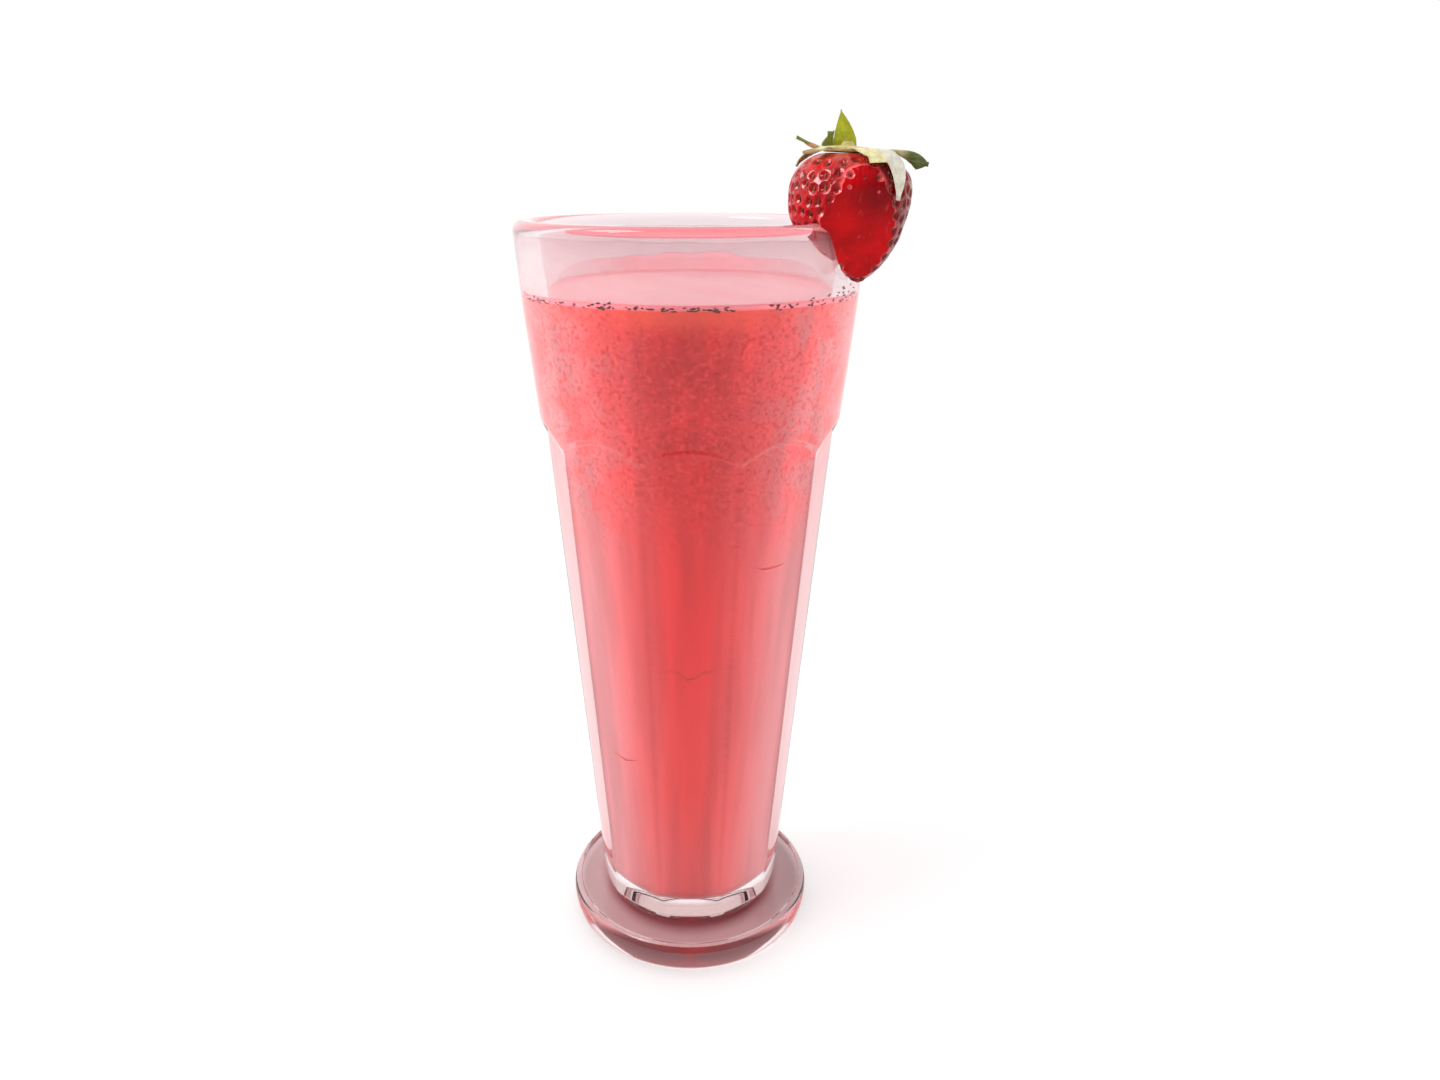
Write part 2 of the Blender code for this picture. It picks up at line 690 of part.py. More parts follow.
def cap_mesh():
    """The disc that joins the leaves, with a low knob where the stalk was."""
    frame = berry_frame()
    level = BERRY_HEIGHT * SHOULDER_FLAT + LEAF_CLEARANCE - CAP_DROP
    rings = []
    for radius_share, height_share in CAP_OUTLINE:
        ring = []
        for index in range(CAP_SIDES):
            angle = 2 * math.pi * index / CAP_SIDES
            radius = CAP_RADIUS * radius_share * (1 + CAP_UNEVENNESS * math.cos(CAP_LOBES * angle))
            point = Vector((
                radius * math.cos(angle) + CAP_SHIFT,
                radius * math.sin(angle),
                level + height_share * CAP_THICKNESS,
            ))
            ring.append(tuple(frame @ point))
        rings.append(ring)
    bottom = tuple(frame @ Vector((CAP_SHIFT, 0.0, level)))
    top = tuple(frame @ Vector((CAP_SHIFT, 0.0, level + CAP_TOP * CAP_THICKNESS)))
    return closed_loft("cap", rings, bottom, top)


# Leaves by name: side, start, length, width, lift, sway, fold, tip width, taper, turn
LEAVES = {
    "upright": (92, 1.0, 8.4, 5.6, (94, 84, 1.0), 13, 0.08, 0.07, 1.6, 0),
    "curled": (150, 3.1, 3.9, 7.0, (66, 104, 1.0), 6, 0.14, 0.50, 2.4, 0),
    "left_thin": (196, 4.2, 8.0, 1.9, (8, 24, 1.0), -4, 0.10, 0.12, 2.4, 0),
    "left_low": (222, 3.9, 9.2, 2.8, (0, -14, 1.0), -8, 0.14, 0.10, 2.4, 10),
    "front_nub": (297, 3.0, 8.4, 6.2, (0, -74, 0.8), 0, 0.06, 0.45, 4.0, 0),
    "right_low": (318, 4.0, 14.0, 5.6, (2, -92, 0.72), -4, 0.10, 0.10, 2.4, 0),
    "right_long": (352, 4.0, 14.0, 6.4, (-6, -12, 1.0), 0, 0.12, 0.14, 4.0, -80),
    "back_right": (32, 3.8, 11.5, 5.0, (2, -60, 1.0), 8, 0.12, 0.08, 2.4, 0),
    "back_middle": (66, 3.8, 11.5, 5.4, (4, -64, 1.0), -6, 0.12, 0.08, 2.4, 0),
    "back_left": (134, 3.8, 10.0, 4.8, (4, -56, 1.0), 8, 0.12, 0.08, 2.4, 0),
}


def largest_body(target):
    """Drop scraps that a cut leaves loose."""
    shape = bmesh.new()
    shape.from_mesh(target.data)
    unseen = set(shape.verts)
    bodies = []
    while unseen:
        body = {unseen.pop()}
        edge = list(body)
        while edge:
            vertex = edge.pop()
            for link in vertex.link_edges:
                other = link.other_vert(vertex)
                if other in unseen:
                    unseen.discard(other)
                    body.add(other)
                    edge.append(other)
        bodies.append(body)
    bodies.sort(key=len, reverse=True)
    for body in bodies[1:]:
        bmesh.ops.delete(shape, geom=list(body), context="VERTS")
    shape.to_mesh(target.data)
    shape.free()


def build_leaves():
    """The strawberry's leaves and their cap as one piece, clear of the berry."""
    finish = material("leaves", (0.45, 0.50, 0.10), 0.55)
    leaves = new_object("strawberry_leaves", cap_mesh(), finish)
    blades = bpy.data.collections.new("blades")
    bpy.context.scene.collection.children.link(blades)
    for name, sizes in LEAVES.items():
        mesh = leaf_mesh(name, *sizes)
        blades.objects.link(bpy.data.objects.new(name, mesh))
    apply_boolean(leaves, "UNION", collection=blades)
    room = new_object("room", berry_body("room", LEAF_CLEARANCE))
    apply_boolean(leaves, "DIFFERENCE", room)
    largest_body(leaves)
    leaves.data.shade_smooth()
    leaves.data.set_sharp_from_angle(angle=SHARP_ANGLE)
    return leaves


clear_scene()
build_glass()
build_drink()
build_berry()
build_leaves()
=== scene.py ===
"""Looks of the strawberry smoothie: clear glass, drink, froth, strawberry and its leaves.

Metres, +Z up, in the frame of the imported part. The forms repeat the part's own sizes and
formulas at a finer resolution.
"""

import math
import random

import bmesh
import bpy
import numpy as np
from mathutils import Matrix, Vector, kdtree, noise


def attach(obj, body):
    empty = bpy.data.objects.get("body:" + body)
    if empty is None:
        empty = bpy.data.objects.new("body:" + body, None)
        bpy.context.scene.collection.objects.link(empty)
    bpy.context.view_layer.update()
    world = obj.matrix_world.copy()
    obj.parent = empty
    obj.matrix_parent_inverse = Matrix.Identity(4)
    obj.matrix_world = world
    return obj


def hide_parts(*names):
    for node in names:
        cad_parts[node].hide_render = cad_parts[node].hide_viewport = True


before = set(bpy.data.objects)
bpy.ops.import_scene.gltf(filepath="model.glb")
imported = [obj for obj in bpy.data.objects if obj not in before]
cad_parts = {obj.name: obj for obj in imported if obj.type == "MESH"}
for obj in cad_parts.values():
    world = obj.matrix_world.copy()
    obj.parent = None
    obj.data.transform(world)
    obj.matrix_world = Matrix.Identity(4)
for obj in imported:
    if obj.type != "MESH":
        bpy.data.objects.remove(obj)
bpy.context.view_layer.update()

MM = 0.001

# Glass, as in the part
GLASS_HEIGHT = 202.4 * MM
FACETS = 10
FRONT = math.radians(-90)
FOOT_RADIUS = 36.0 * MM
FOOT_FLAT_RADIUS = 33.2 * MM
FOOT_WIDEST_HEIGHT = 5.2 * MM
FOOT_TOP_HEIGHT = 8.6 * MM
FOOT_ROUNDING = 2.6 * MM
FOOT_UNDER_ROUNDING = 2.2 * MM
FOOT_TOP_RISE = 0.3 * MM
FOOT_TOP_RISE_SHARE = 0.3
NECK_RADIUS = 24.8 * MM
NECK_HEIGHT = 9.7 * MM
NECK_FILLET = 0.4 * MM
NECK_FILLET_HEIGHT = 0.5 * MM
BOWL_BOTTOM = 10.6 * MM
FACET_BOTTOM = 12.0 * MM
FACET_TOP = 148.2 * MM
FACET_BOTTOM_RADIUS = 26.7 * MM
FACET_TOP_RADIUS = 37.8 * MM
FACET_ARCH = 4.0 * MM
FACET_FLATNESS = 0.98
FACET_FADE = 24.0 * MM
HEEL_FLATNESS = 0.4
HEEL_INSET = 0.9 * MM
STEP_HEIGHT = 2.2 * MM
COLLAR_RADIUS = 38.5 * MM
COLLAR_BULGE = 0.25 * MM
COLLAR_PLAIN_FROM = FACET_TOP + STEP_HEIGHT + FACET_ARCH + 3.0 * MM
RIM_RADIUS = 43.6 * MM
RIM_WALL = 5.6 * MM
LIP_ROUNDING = 2.4 * MM
FLOOR_HEIGHT = 13.8 * MM
FLOOR_ROUNDING = 4.0 * MM
FLOOR_RADIUS = 19.8 * MM
COLLAR_INNER_RADIUS = 31.6 * MM
RIM_INNER_RADIUS = RIM_RADIUS - RIM_WALL
GLASS_SIDES = 240
FACET_ROWS = 34
STEP_ROWS = 7
COLLAR_ROWS = 12
INSIDE_ROWS = 24
SHARP_ANGLE = math.radians(50)

# Painted shade on the rounded edges between the facets: it grows stronger and wider towards the sides
EDGE_FROM_RADIUS = 0.93
EDGE_TOP_FADE = 4.0 * MM
EDGE_STRENGTHS = (0.22, 1.0)
EDGE_STRENGTH_TURNS = (math.radians(30), math.radians(70))
EDGE_STARTS = (0.86, 0.45)
EDGE_START_TURNS = (math.radians(65), math.radians(80))
EDGE_FULL = 0.98

# Thin air under the foot, without which the base wouldn't mirror the drink
AIR_UNDER_FOOT = 0.1 * MM

# Drink, as in the part, but reaching into the wall so that no air gap shows
INTO_WALL = 0.2 * MM
DRINK_LEVEL = 185.5 * MM
MENISCUS_RISE = 0.7 * MM
MENISCUS_WIDTH = 3.0 * MM
FROTH_RELIEF = 0.35 * MM
SWELL_LENGTHS = (7.1 * MM, 6.3 * MM)
RIPPLE_LENGTHS = (2.9 * MM, 4.1 * MM)
RIPPLE_SHARE = 0.5
DRINK_SIDES = 240
DRINK_ROWS = 60
DRINK_TOP_ROWS = 36
MENISCUS_ROWS = 8
FILM_TOP = 189.6 * MM
FILM_FRONT_TOP = 185.9 * MM
FILM_THICKNESS = 0.15 * MM
FILM_EDGE_SHARE = 0.2
FILM_BELOW_LEVEL = 0.3 * MM
FILM_SIDES = 480
FILM_ROWS = 8
SMEAR_TOP = 199.2 * MM
SMEAR_THICKNESS = 0.04 * MM
SMEAR_INTO_WALL = 0.05 * MM
SMEAR_WAVE = 0.4
SMEAR_ROWS = 10

# Seed specks along the drink's edge: degrees from the front, number, and how far up they reach in mm
SPECK_ROWS = (
    (-74, -47, 34, 0.5),
    (-43, -26, 16, 0.7),
    (-31, -26, 3, 2.6),
    (-22, -4, 15, 0.4),
    (-3, 15, 24, 0.4),
    (24, 40, 13, 0.6),
    (42, 84, 40, 3.4),
    (60, 84, 22, 0.6),
    (84, 286, 150, 1.2),
)
SPECK_HEIGHT = 0.4 * MM
SPECKS_BELOW = 60
SPECK_SEED = 11

# Faint lines in the drink: x and height in mm
MARKS = (
    ((-9.4, 91.2), (-7.0, 92.0), (-4.4, 92.4), (-2.4, 91.4), (-0.8, 89.8), (1.0, 90.2), (3.2, 91.6),
     (6.0, 92.2), (11.2, 92.8)),
    ((14.4, 121.0), (17.0, 119.6), (20.4, 119.2), (22.6, 119.4)),
    ((-19.4, 61.0), (-16.0, 60.2), (-12.4, 61.8)),
)
MARK_HEIGHT = 0.55 * MM
MARK_STEPS = 24

# Soft darker patches of the drink: middle and radii in mm
DARK_PATCHES = (
    ((0, -32, 170), (12, 10, 8)),
    ((2, -31, 155), (9, 8, 4)),
)

# Strawberry, as in the part
GAP = 0.3 * MM
BERRY_AZIMUTH = math.radians(-33)
BERRY_FROM_AXIS = 42.1 * MM
BERRY_TIP_HEIGHT = 189.4 * MM
BERRY_HEIGHT = 28.4 * MM
BERRY_WIDEST_HEIGHT = 18.5 * MM
BERRY_RADIUS = 13.3 * MM
BERRY_LEAN = math.radians(2.5)
SHOULDER_FLAT = 0.955
SHOULDER_POWER = 2.7
SHOULDER_SHARES = (0.0, 0.28, 0.55, 0.85, 1.0)
SHOULDER_DROPS = (0.6 * MM, 0.5 * MM, 0.1 * MM, -0.25 * MM, 0.0)
TIP_BLUNTNESS = 0.79
TIP_SWING = 3.7 * MM
TIP_SWING_HEIGHT = 14.0 * MM
TIP_SWING_POWER = 1.5
SLIT_BOTTOM = 180.0 * MM
SLIT_SIDES = 240
LOBES = (
    (2, 0.022, 0.7, 0.0),
    (3, 0.016, -1.1, 0.0),
    (5, 0.010, 0.0, 280.0),
)
SLICE_DEPTH = 12.45 * MM
SLICE_HEIGHT = 20.9 * MM
SLICE_CURVE = 1.57 * MM
SLICE_STRAIGHTENING = 2.86 * MM
SLICE_TURN = math.radians(3)

# Fine surface of the strawberry
BERRY_SIDES = 320
BERRY_ROWS = 210
SHOULDER_ROWS = 24
SEED_SPACING = 3.0 * MM
SEED_ROW_SHARE = 0.86
SEED_LOWEST = 1.6 * MM
SEED_HIGHEST = 25.6 * MM
SEED_LENGTH = 1.25 * MM
SEED_WIDTH = 0.80 * MM
SEED_HEIGHT = 0.42 * MM
SEED_SUNK = 0.40 * MM
SEED_CLEARANCE = 0.7 * MM
SEED_SCATTER = (0.55 * MM, 0.6 * MM)
SEED_TURN = 0.35
SEED_SIZES = (0.85, 1.1)
DIMPLE_DEPTH = 0.60 * MM
DIMPLE_RADIUS = 0.80 * MM
RIDGE_HEIGHT = 0.10 * MM
RIDGE_RADIUS = 1.35 * MM
RIDGE_WIDTH = 0.35 * MM
# Radius of the painted shade round each seed
PIT_SHADE_RADIUS = 0.95 * MM
CUT_LIP_HEIGHT = 0.16 * MM
CUT_LIP_WIDTH = 0.7 * MM
# Width of the painted highlight along the edge of the sliced face
PAINTED_HIGHLIGHT_WIDTH = 0.32 * MM
CUT_LIP_INSET = 0.3 * MM
SKIN_GRAIN = 420
SKIN_GRAIN_HEIGHT = 0.07 * MM
WALL_TAPER = 1.2 * MM
RANDOM_SEED = 7

# Block that cuts the sliced face
SLICE_LOWEST = -7.0 * MM
SLICE_HIGHEST = 36.0 * MM
SLICE_WIDTH = 36.0 * MM
SLICE_BLOCK = 40.0 * MM
SLICE_COLUMNS = 150
SLICE_ROWS = 170

# Relief of the sliced face, low swells, upright fibres and grain: height in mm, scale across
# and up, and place in the noise
SLICE_RELIEF = (
    (0.10, 160, 110, 2.0),
    (0.045, 1500, 260, 7.0),
    (0.02, 1100, 1100, 5.0),
)

# Leaves, as in the part
LEAF_THICKNESS = 0.5 * MM
LEAF_CLEARANCE = 0.75 * MM
LEAF_EXTRA_ROOM = 0.15 * MM
LEAF_RISE = 0.2 * MM
LEAF_BASE_WIDTH = 0.85
LEAF_SPREAD = 0.6
LEAF_WAVE = 0.25 * MM
LEAF_WAVE_TURNS = 7
LEAF_STEPS = 28
LEAF_COLUMNS = 11
LEAF_FOLD_POWER = 1.4
LEAF_THINNING = 0.45
LEAF_COLOUR_CHANGE = (0.50, 0.70)
VEIN_HEIGHT = 0.08 * MM
VEIN_WIDTH = 0.12
OUTWARD_TRIES = 200
OUTWARD_STEP = 0.01
CAP_RADIUS = 5.4 * MM
CAP_THICKNESS = 1.1 * MM
CAP_SHIFT = -1.5 * MM
CAP_DROP = 0.2 * MM
CAP_SIDES = 96
CAP_LOBES = 5
CAP_UNEVENNESS = 0.06


def between(low, high, share):
    return low + (high - low) * share


def share_of(value, low, high):
    return (value - low) / (high - low)


def ease(share):
    share = min(max(share, 0.0), 1.0)
    return share * share * (3 - 2 * share)


def polar(radius, angle, height):
    return (radius * math.cos(angle), radius * math.sin(angle), height)


def mesh_object(name, points, faces, smooth_angle=None):
    """A mesh object whose faces all point out."""
    mesh = bpy.data.meshes.new(name)
    mesh.from_pydata([tuple(point) for point in points], [], faces)
    shape = bmesh.new()
    shape.from_mesh(mesh)
    bmesh.ops.recalc_face_normals(shape, faces=shape.faces)
    shape.to_mesh(mesh)
    shape.free()
    made = bpy.data.objects.new(name, mesh)
    bpy.context.scene.collection.objects.link(made)
    mesh.shade_smooth()
    if smooth_angle:
        mesh.set_sharp_from_angle(angle=smooth_angle)
    return made


def loft(rings, bottom=None, top=None):
    """Points and faces through rings of equally many points, closed by a point at each end."""
    count = len(rings[0])
    points = []
    for ring in rings:
        points.extend(ring)
    faces = []
    for row in range(len(rings) - 1):
        below = row * count
        above = below + count
        for index in range(count):
            following = (index + 1) % count
            faces.append((below + index, below + following, above + following, above + index))
    if bottom is not None:
        points.append(bottom)
        last = len(points) - 1
        faces += [(last, (index + 1) % count, index) for index in range(count)]
    if top is not None:
        points.append(top)
        last = len(points) - 1
        end = (len(rings) - 1) * count
        faces += [(last, end + index, end + (index + 1) % count) for index in range(count)]
    return points, faces


def arc(centre, radius, start_degrees, end_degrees, steps):
    """Points of an arc, each its distance from the axis and its height."""
    found = []
    for step in range(steps + 1):
        angle = math.radians(between(start_degrees, end_degrees, step / steps))
        found.append((centre[0] + radius * math.cos(angle), centre[1] + radius * math.sin(angle)))
    return found


def write_shares(target, name, shares):
    """Give each point of a mesh a number that its finish reads."""
    made = target.data.attributes.new(name, "FLOAT", "POINT")
    made.data.foreach_set("value", np.array(shares, np.float32))


# Glass


def cone_radius(height):
    return between(FACET_BOTTOM_RADIUS, FACET_TOP_RADIUS, share_of(height, FACET_BOTTOM, FACET_TOP))


def heel_radius(height):
    return cone_radius(height) - HEEL_INSET


def collar_radius(height):
    share = min(max(share_of(height, FACET_TOP, GLASS_HEIGHT), 0.0), 1.0)
    return between(COLLAR_RADIUS, RIM_RADIUS, share) + COLLAR_BULGE * math.sin(math.pi * share)


def inner_radius(height):
    low = FLOOR_HEIGHT + FLOOR_ROUNDING
    middle = FACET_TOP
    high = GLASS_HEIGHT
    at_low = (height - middle) * (height - high) / ((low - middle) * (low - high))
    at_middle = (height - low) * (height - high) / ((middle - low) * (middle - high))
    at_high = (height - low) * (height - middle) / ((high - low) * (high - middle))
    return FLOOR_RADIUS * at_low + COLLAR_INNER_RADIUS * at_middle + RIM_INNER_RADIUS * at_high


def facet_share(angle):
    """Place across a facet, from -1 to 1."""
    width = 2 * math.pi / FACETS
    offset = (angle - FRONT + width / 2) % width - width / 2
    return 2 * offset / width


def facet_flatness(height):
    """How flat the facets are at a height: they grow rounder towards the heel."""
    return between(HEEL_FLATNESS, FACET_FLATNESS, ease((height - FACET_BOTTOM) / FACET_FADE))


def ring_angles(sides):
    start = FRONT + math.pi / FACETS
    return [start + 2 * math.pi * index / sides for index in range(sides)]


def outer_ring(height, radius_at, flatness, arch=0.0):
    """A ring of the outside, round at flatness 0, raised by the arch in the middle of each facet."""
    ring = []
    half = math.pi / FACETS
    for angle in ring_angles(GLASS_SIDES):
        share = facet_share(angle)
        level = height + arch * (1 - share * share)
        radius = radius_at(level)
        flat = radius * math.cos(half) / math.cos(share * half)
        radius = between(radius, flat, flatness)
        ring.append(polar(radius, angle, level))
    return ring


def round_ring(radius, height, sides=GLASS_SIDES):
    return [polar(radius, angle, height) for angle in ring_angles(sides)]


def foot_outline():
    """The foot's outside from its flat underside up to the neck."""
    points = [(FOOT_FLAT_RADIUS * 0.98, 0.0)]
    points += arc((FOOT_FLAT_RADIUS, FOOT_UNDER_ROUNDING), FOOT_UNDER_ROUNDING, -88, -15, 8)
    points.append((FOOT_RADIUS - 0.15 * MM, between(FOOT_UNDER_ROUNDING, FOOT_WIDEST_HEIGHT, 0.5)))
    points.append((FOOT_RADIUS, FOOT_WIDEST_HEIGHT))
    corner = (FOOT_RADIUS - FOOT_ROUNDING, FOOT_TOP_HEIGHT - FOOT_ROUNDING)
    points += arc(corner, FOOT_ROUNDING, 12, 85, 8)
    for share in (0.8, 0.6, 0.45, 0.3, 0.15, 0.05):
        rise = FOOT_TOP_RISE * (1 - share) / (1 - FOOT_TOP_RISE_SHARE)
        points.append((between(NECK_RADIUS + NECK_FILLET, FOOT_RADIUS, share), FOOT_TOP_HEIGHT + rise))
    points.append((NECK_RADIUS + NECK_FILLET, NECK_HEIGHT - NECK_FILLET_HEIGHT))
    points.append((NECK_RADIUS + NECK_FILLET * 0.3, NECK_HEIGHT - NECK_FILLET_HEIGHT * 0.4))
    points.append((NECK_RADIUS, NECK_HEIGHT))
    return points


def wall_outline(gap, bottom, rows, lip_steps):
    """The wall up its outside, over the lip and down its inside, made wider by the gap."""
    lip_height = GLASS_HEIGHT - LIP_ROUNDING
    outside = collar_radius(lip_height) - LIP_ROUNDING
    inside = inner_radius(lip_height) + LIP_ROUNDING
    rounding = LIP_ROUNDING + gap
    levels = [between(bottom, lip_height, row / rows) for row in range(rows)]
    points = [(collar_radius(level) + gap, level) for level in levels]
    points += arc((outside, lip_height), rounding, 3, 90, lip_steps)
    points += arc((inside, lip_height), rounding, 90, 177, lip_steps)
    points += [(inner_radius(level) - gap, level) for level in reversed(levels)]
    return points


def floor_outline(outward, steps):
    """The round corner at the bottom of the inside, top to bottom, moved outward."""
    centre = (FLOOR_RADIUS - FLOOR_ROUNDING, FLOOR_HEIGHT + FLOOR_ROUNDING)
    return arc(centre, FLOOR_ROUNDING + outward, 0, -88, steps)


def painted_edge_shade(point):
    """How much painted shade a point gets on the rounded edge between two facets, from 0 to 1."""
    radius = math.hypot(point.x, point.y)
    if not FACET_BOTTOM < point.z < FACET_TOP or radius < cone_radius(point.z) * EDGE_FROM_RADIUS:
        return 0.0
    angle = math.atan2(point.y, point.x)
    front = abs((angle - FRONT + math.pi) % (2 * math.pi) - math.pi)
    strength = between(*EDGE_STRENGTHS, ease(share_of(front, *EDGE_STRENGTH_TURNS)))
    start = between(*EDGE_STARTS, ease(share_of(front, *EDGE_START_TURNS)))
    faded = ease((point.z - FACET_BOTTOM) / FACET_FADE) * ease((FACET_TOP - point.z) / EDGE_TOP_FADE)
    return ease(share_of(abs(facet_share(angle)), start, EDGE_FULL)) * faded * strength


def build_glass(finish):
    rings = [round_ring(radius, height) for radius, height in foot_outline()]
    rings.append(outer_ring(between(NECK_HEIGHT, BOWL_BOTTOM, 0.5), heel_radius, 0.2))
    rings.append(outer_ring(BOWL_BOTTOM, heel_radius, HEEL_FLATNESS))
    for share in (0.35, 0.7):
        level = between(BOWL_BOTTOM, FACET_BOTTOM, share)
        inset = HEEL_INSET * (1 - share) ** 2
        rings.append(outer_ring(level, lambda z: cone_radius(z) - inset, HEEL_FLATNESS))
    for row in range(FACET_ROWS + 1):
        share = row / FACET_ROWS
        arch = FACET_ARCH * ease((share - 0.8) / 0.2)
        level = between(FACET_BOTTOM, FACET_TOP, share)
        rings.append(outer_ring(level, cone_radius, facet_flatness(level), arch))
    for step in range(1, STEP_ROWS + 1):
        share = step / STEP_ROWS
        blend = ease(share)
        level = FACET_TOP + STEP_HEIGHT * share
        rings.append(outer_ring(
            level,
            lambda z: between(cone_radius(z), collar_radius(z), blend),
            FACET_FLATNESS * (1 - blend),
            FACET_ARCH,
        ))
    for step in range(1, 5):
        share = step / 5
        level = between(FACET_TOP + STEP_HEIGHT, COLLAR_PLAIN_FROM, share)
        rings.append(outer_ring(level, collar_radius, 0.0, FACET_ARCH * (1 - share)))
    upper = wall_outline(0.0, COLLAR_PLAIN_FROM, COLLAR_ROWS, 14)
    rings += [round_ring(radius, height) for radius, height in upper]
    low = FLOOR_HEIGHT + FLOOR_ROUNDING
    for row in range(1, INSIDE_ROWS):
        height = between(COLLAR_PLAIN_FROM, low, row / INSIDE_ROWS)
        rings.append(round_ring(inner_radius(height), height))
    rings += [round_ring(radius, height) for radius, height in floor_outline(0.0, 10)]
    points, faces = loft(rings, (0.0, 0.0, 0.0), (0.0, 0.0, FLOOR_HEIGHT))
    glass = mesh_object("glass_clear", points, faces, SHARP_ANGLE)
    glass.data.materials.append(finish)
    write_shares(glass, "edge", [painted_edge_shade(point.co) for point in glass.data.vertices])
    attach(glass, "root")
    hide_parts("glass")


# Drink


def froth(x, y):
    """Low swells of the drink's top."""
    swell = math.sin(x / SWELL_LENGTHS[0] + 0.6) * math.cos(y / SWELL_LENGTHS[1] - 0.4)
    ripple = RIPPLE_SHARE * math.sin(x / RIPPLE_LENGTHS[0] + y / RIPPLE_LENGTHS[1])
    return FROTH_RELIEF * (swell + ripple) / (1 + RIPPLE_SHARE)


def build_drink(finish):
    rings = []
    for radius, height in reversed(floor_outline(INTO_WALL, 10)):
        rings.append(round_ring(radius, height, DRINK_SIDES))
    low = FLOOR_HEIGHT + FLOOR_ROUNDING
    for row in range(1, DRINK_ROWS + 1):
        height = between(low, DRINK_LEVEL, row / DRINK_ROWS)
        rings.append(round_ring(inner_radius(height) + INTO_WALL, height, DRINK_SIDES))
    radius_at_top = inner_radius(DRINK_LEVEL) + INTO_WALL
    rings.append(round_ring(radius_at_top, DRINK_LEVEL + MENISCUS_RISE, DRINK_SIDES))
    for step in range(1, MENISCUS_ROWS + 1):
        inset = step / MENISCUS_ROWS
        radius = radius_at_top - MENISCUS_WIDTH * inset
        rings.append(round_ring(radius, DRINK_LEVEL + MENISCUS_RISE * (1 - inset) ** 2, DRINK_SIDES))
    inner = radius_at_top - MENISCUS_WIDTH
    for step in range(1, DRINK_TOP_ROWS):
        share = 1 - step / DRINK_TOP_ROWS
        settle = min(1.0, step / 5)
        flat = round_ring(inner * share, DRINK_LEVEL, DRINK_SIDES)
        ring = []
        for x, y, z in flat:
            fine = 0.10 * MM * noise.noise(Vector((x, y, 0.0)) * 900)
            ring.append((x, y, z + settle * (froth(x, y) + fine)))
        rings.append(ring)
    bottom = (0.0, 0.0, FLOOR_HEIGHT - INTO_WALL)
    points, faces = loft(rings, bottom, (0.0, 0.0, DRINK_LEVEL + froth(0.0, 0.0)))
    drink = mesh_object("smoothie_pulp", points, faces)
    drink.data.materials.append(finish)
    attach(drink, "root")
    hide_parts("smoothie")
    return drink


def film_height(angle):
    """Top edge of the film that the drink left on the wall: higher at the back, uneven."""
    back = ease((math.sin(angle) + 0.15) / 0.75)
    ragged = noise.noise(Vector(polar(1.0, angle, 0.3)) * 5)
    fine = noise.noise(Vector(polar(1.0, angle, 4.1)) * 22)
    return between(FILM_FRONT_TOP, FILM_TOP, back) + back * (0.25 * ragged + 0.10 * fine) * MM


def wall_layer(name, sides, rows, height_at, into_wall, thickness_at):
    """A thin closed layer on the inner wall, its outside a little in the wall."""
    outside = []
    inside = []
    for row in range(rows + 1):
        share = row / rows
        outer = []
        inner = []
        for angle in ring_angles(sides):
            height = height_at(angle, share)
            outer.append(polar(inner_radius(height) + into_wall, angle, height))
            inner.append(polar(inner_radius(height) - thickness_at(share), angle, height))
        outside.append(outer)
        inside.append(inner)
    points, faces = loft(outside + inside[::-1] + outside[:1])
    layer = mesh_object(name, points, faces)
    merge(layer)
    return layer


def build_film(finish):
    """Film that the drink left on the wall, thinner at its upper edge."""
    film = wall_layer(
        "froth_film",
        FILM_SIDES,
        FILM_ROWS,
        lambda angle, share: between(DRINK_LEVEL - FILM_BELOW_LEVEL, film_height(angle), share),
        INTO_WALL,
        lambda share: FILM_THICKNESS * (1.0 if share < 1 else FILM_EDGE_SHARE),
    )
    film.data.materials.append(finish)
    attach(film, "root")
    return film


def smear_level(angle, share):
    wave = noise.noise(Vector(polar(1.0, angle, 2.3)) * 4)
    return between(DRINK_LEVEL + MENISCUS_RISE, SMEAR_TOP, share) + share * SMEAR_WAVE * wave * MM


def build_smear(finish):
    """Thin veil that the drink left on the inner wall up to the lip."""
    smear = wall_layer(
        "thin_smear", DRINK_SIDES, SMEAR_ROWS, smear_level, SMEAR_INTO_WALL, lambda share: SMEAR_THICKNESS
    )
    smear.data.materials.append(finish)
    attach(smear, "root")


def merge(target, distance=1e-7):
    """Join points that lie in one place."""
    shape = bmesh.new()
    shape.from_mesh(target.data)
    bmesh.ops.remove_doubles(shape, verts=shape.verts, dist=distance)
    bmesh.ops.recalc_face_normals(shape, faces=shape.faces)
    shape.to_mesh(target.data)
    shape.free()


def drop_points(length, width, height, around=10, rows=6):
    """Points and faces of a seed: a flattened drop, its pointed end towards -X."""
    rings = []
    for row in range(1, rows):
        turn = math.pi * row / rows
        along = -math.cos(turn) / 2
        girth = math.sin(turn) * (0.72 + 0.28 * along * 2)
        ring = []
        for index in range(around):
            angle = 2 * math.pi * index / around
            ring.append((
                along * length,
                girth * width / 2 * math.cos(angle),
                girth * height / 2 * math.sin(angle),
            ))
        rings.append(ring)
    return loft(rings, (-length / 2, 0.0, 0.0), (length / 2, 0.0, 0.0))


def place_drops(name, places):
    """One mesh of many drops. A place is a matrix with its own length, width and height."""
    points = []
    faces = []
    for matrix, length, width, height in places:
        drop, drop_faces = drop_points(length, width, height)
        start = len(points)
        points += [tuple(matrix @ Vector(point)) for point in drop]
        faces += [tuple(start + index for index in face) for face in drop_faces]
    return mesh_object(name, points, faces)


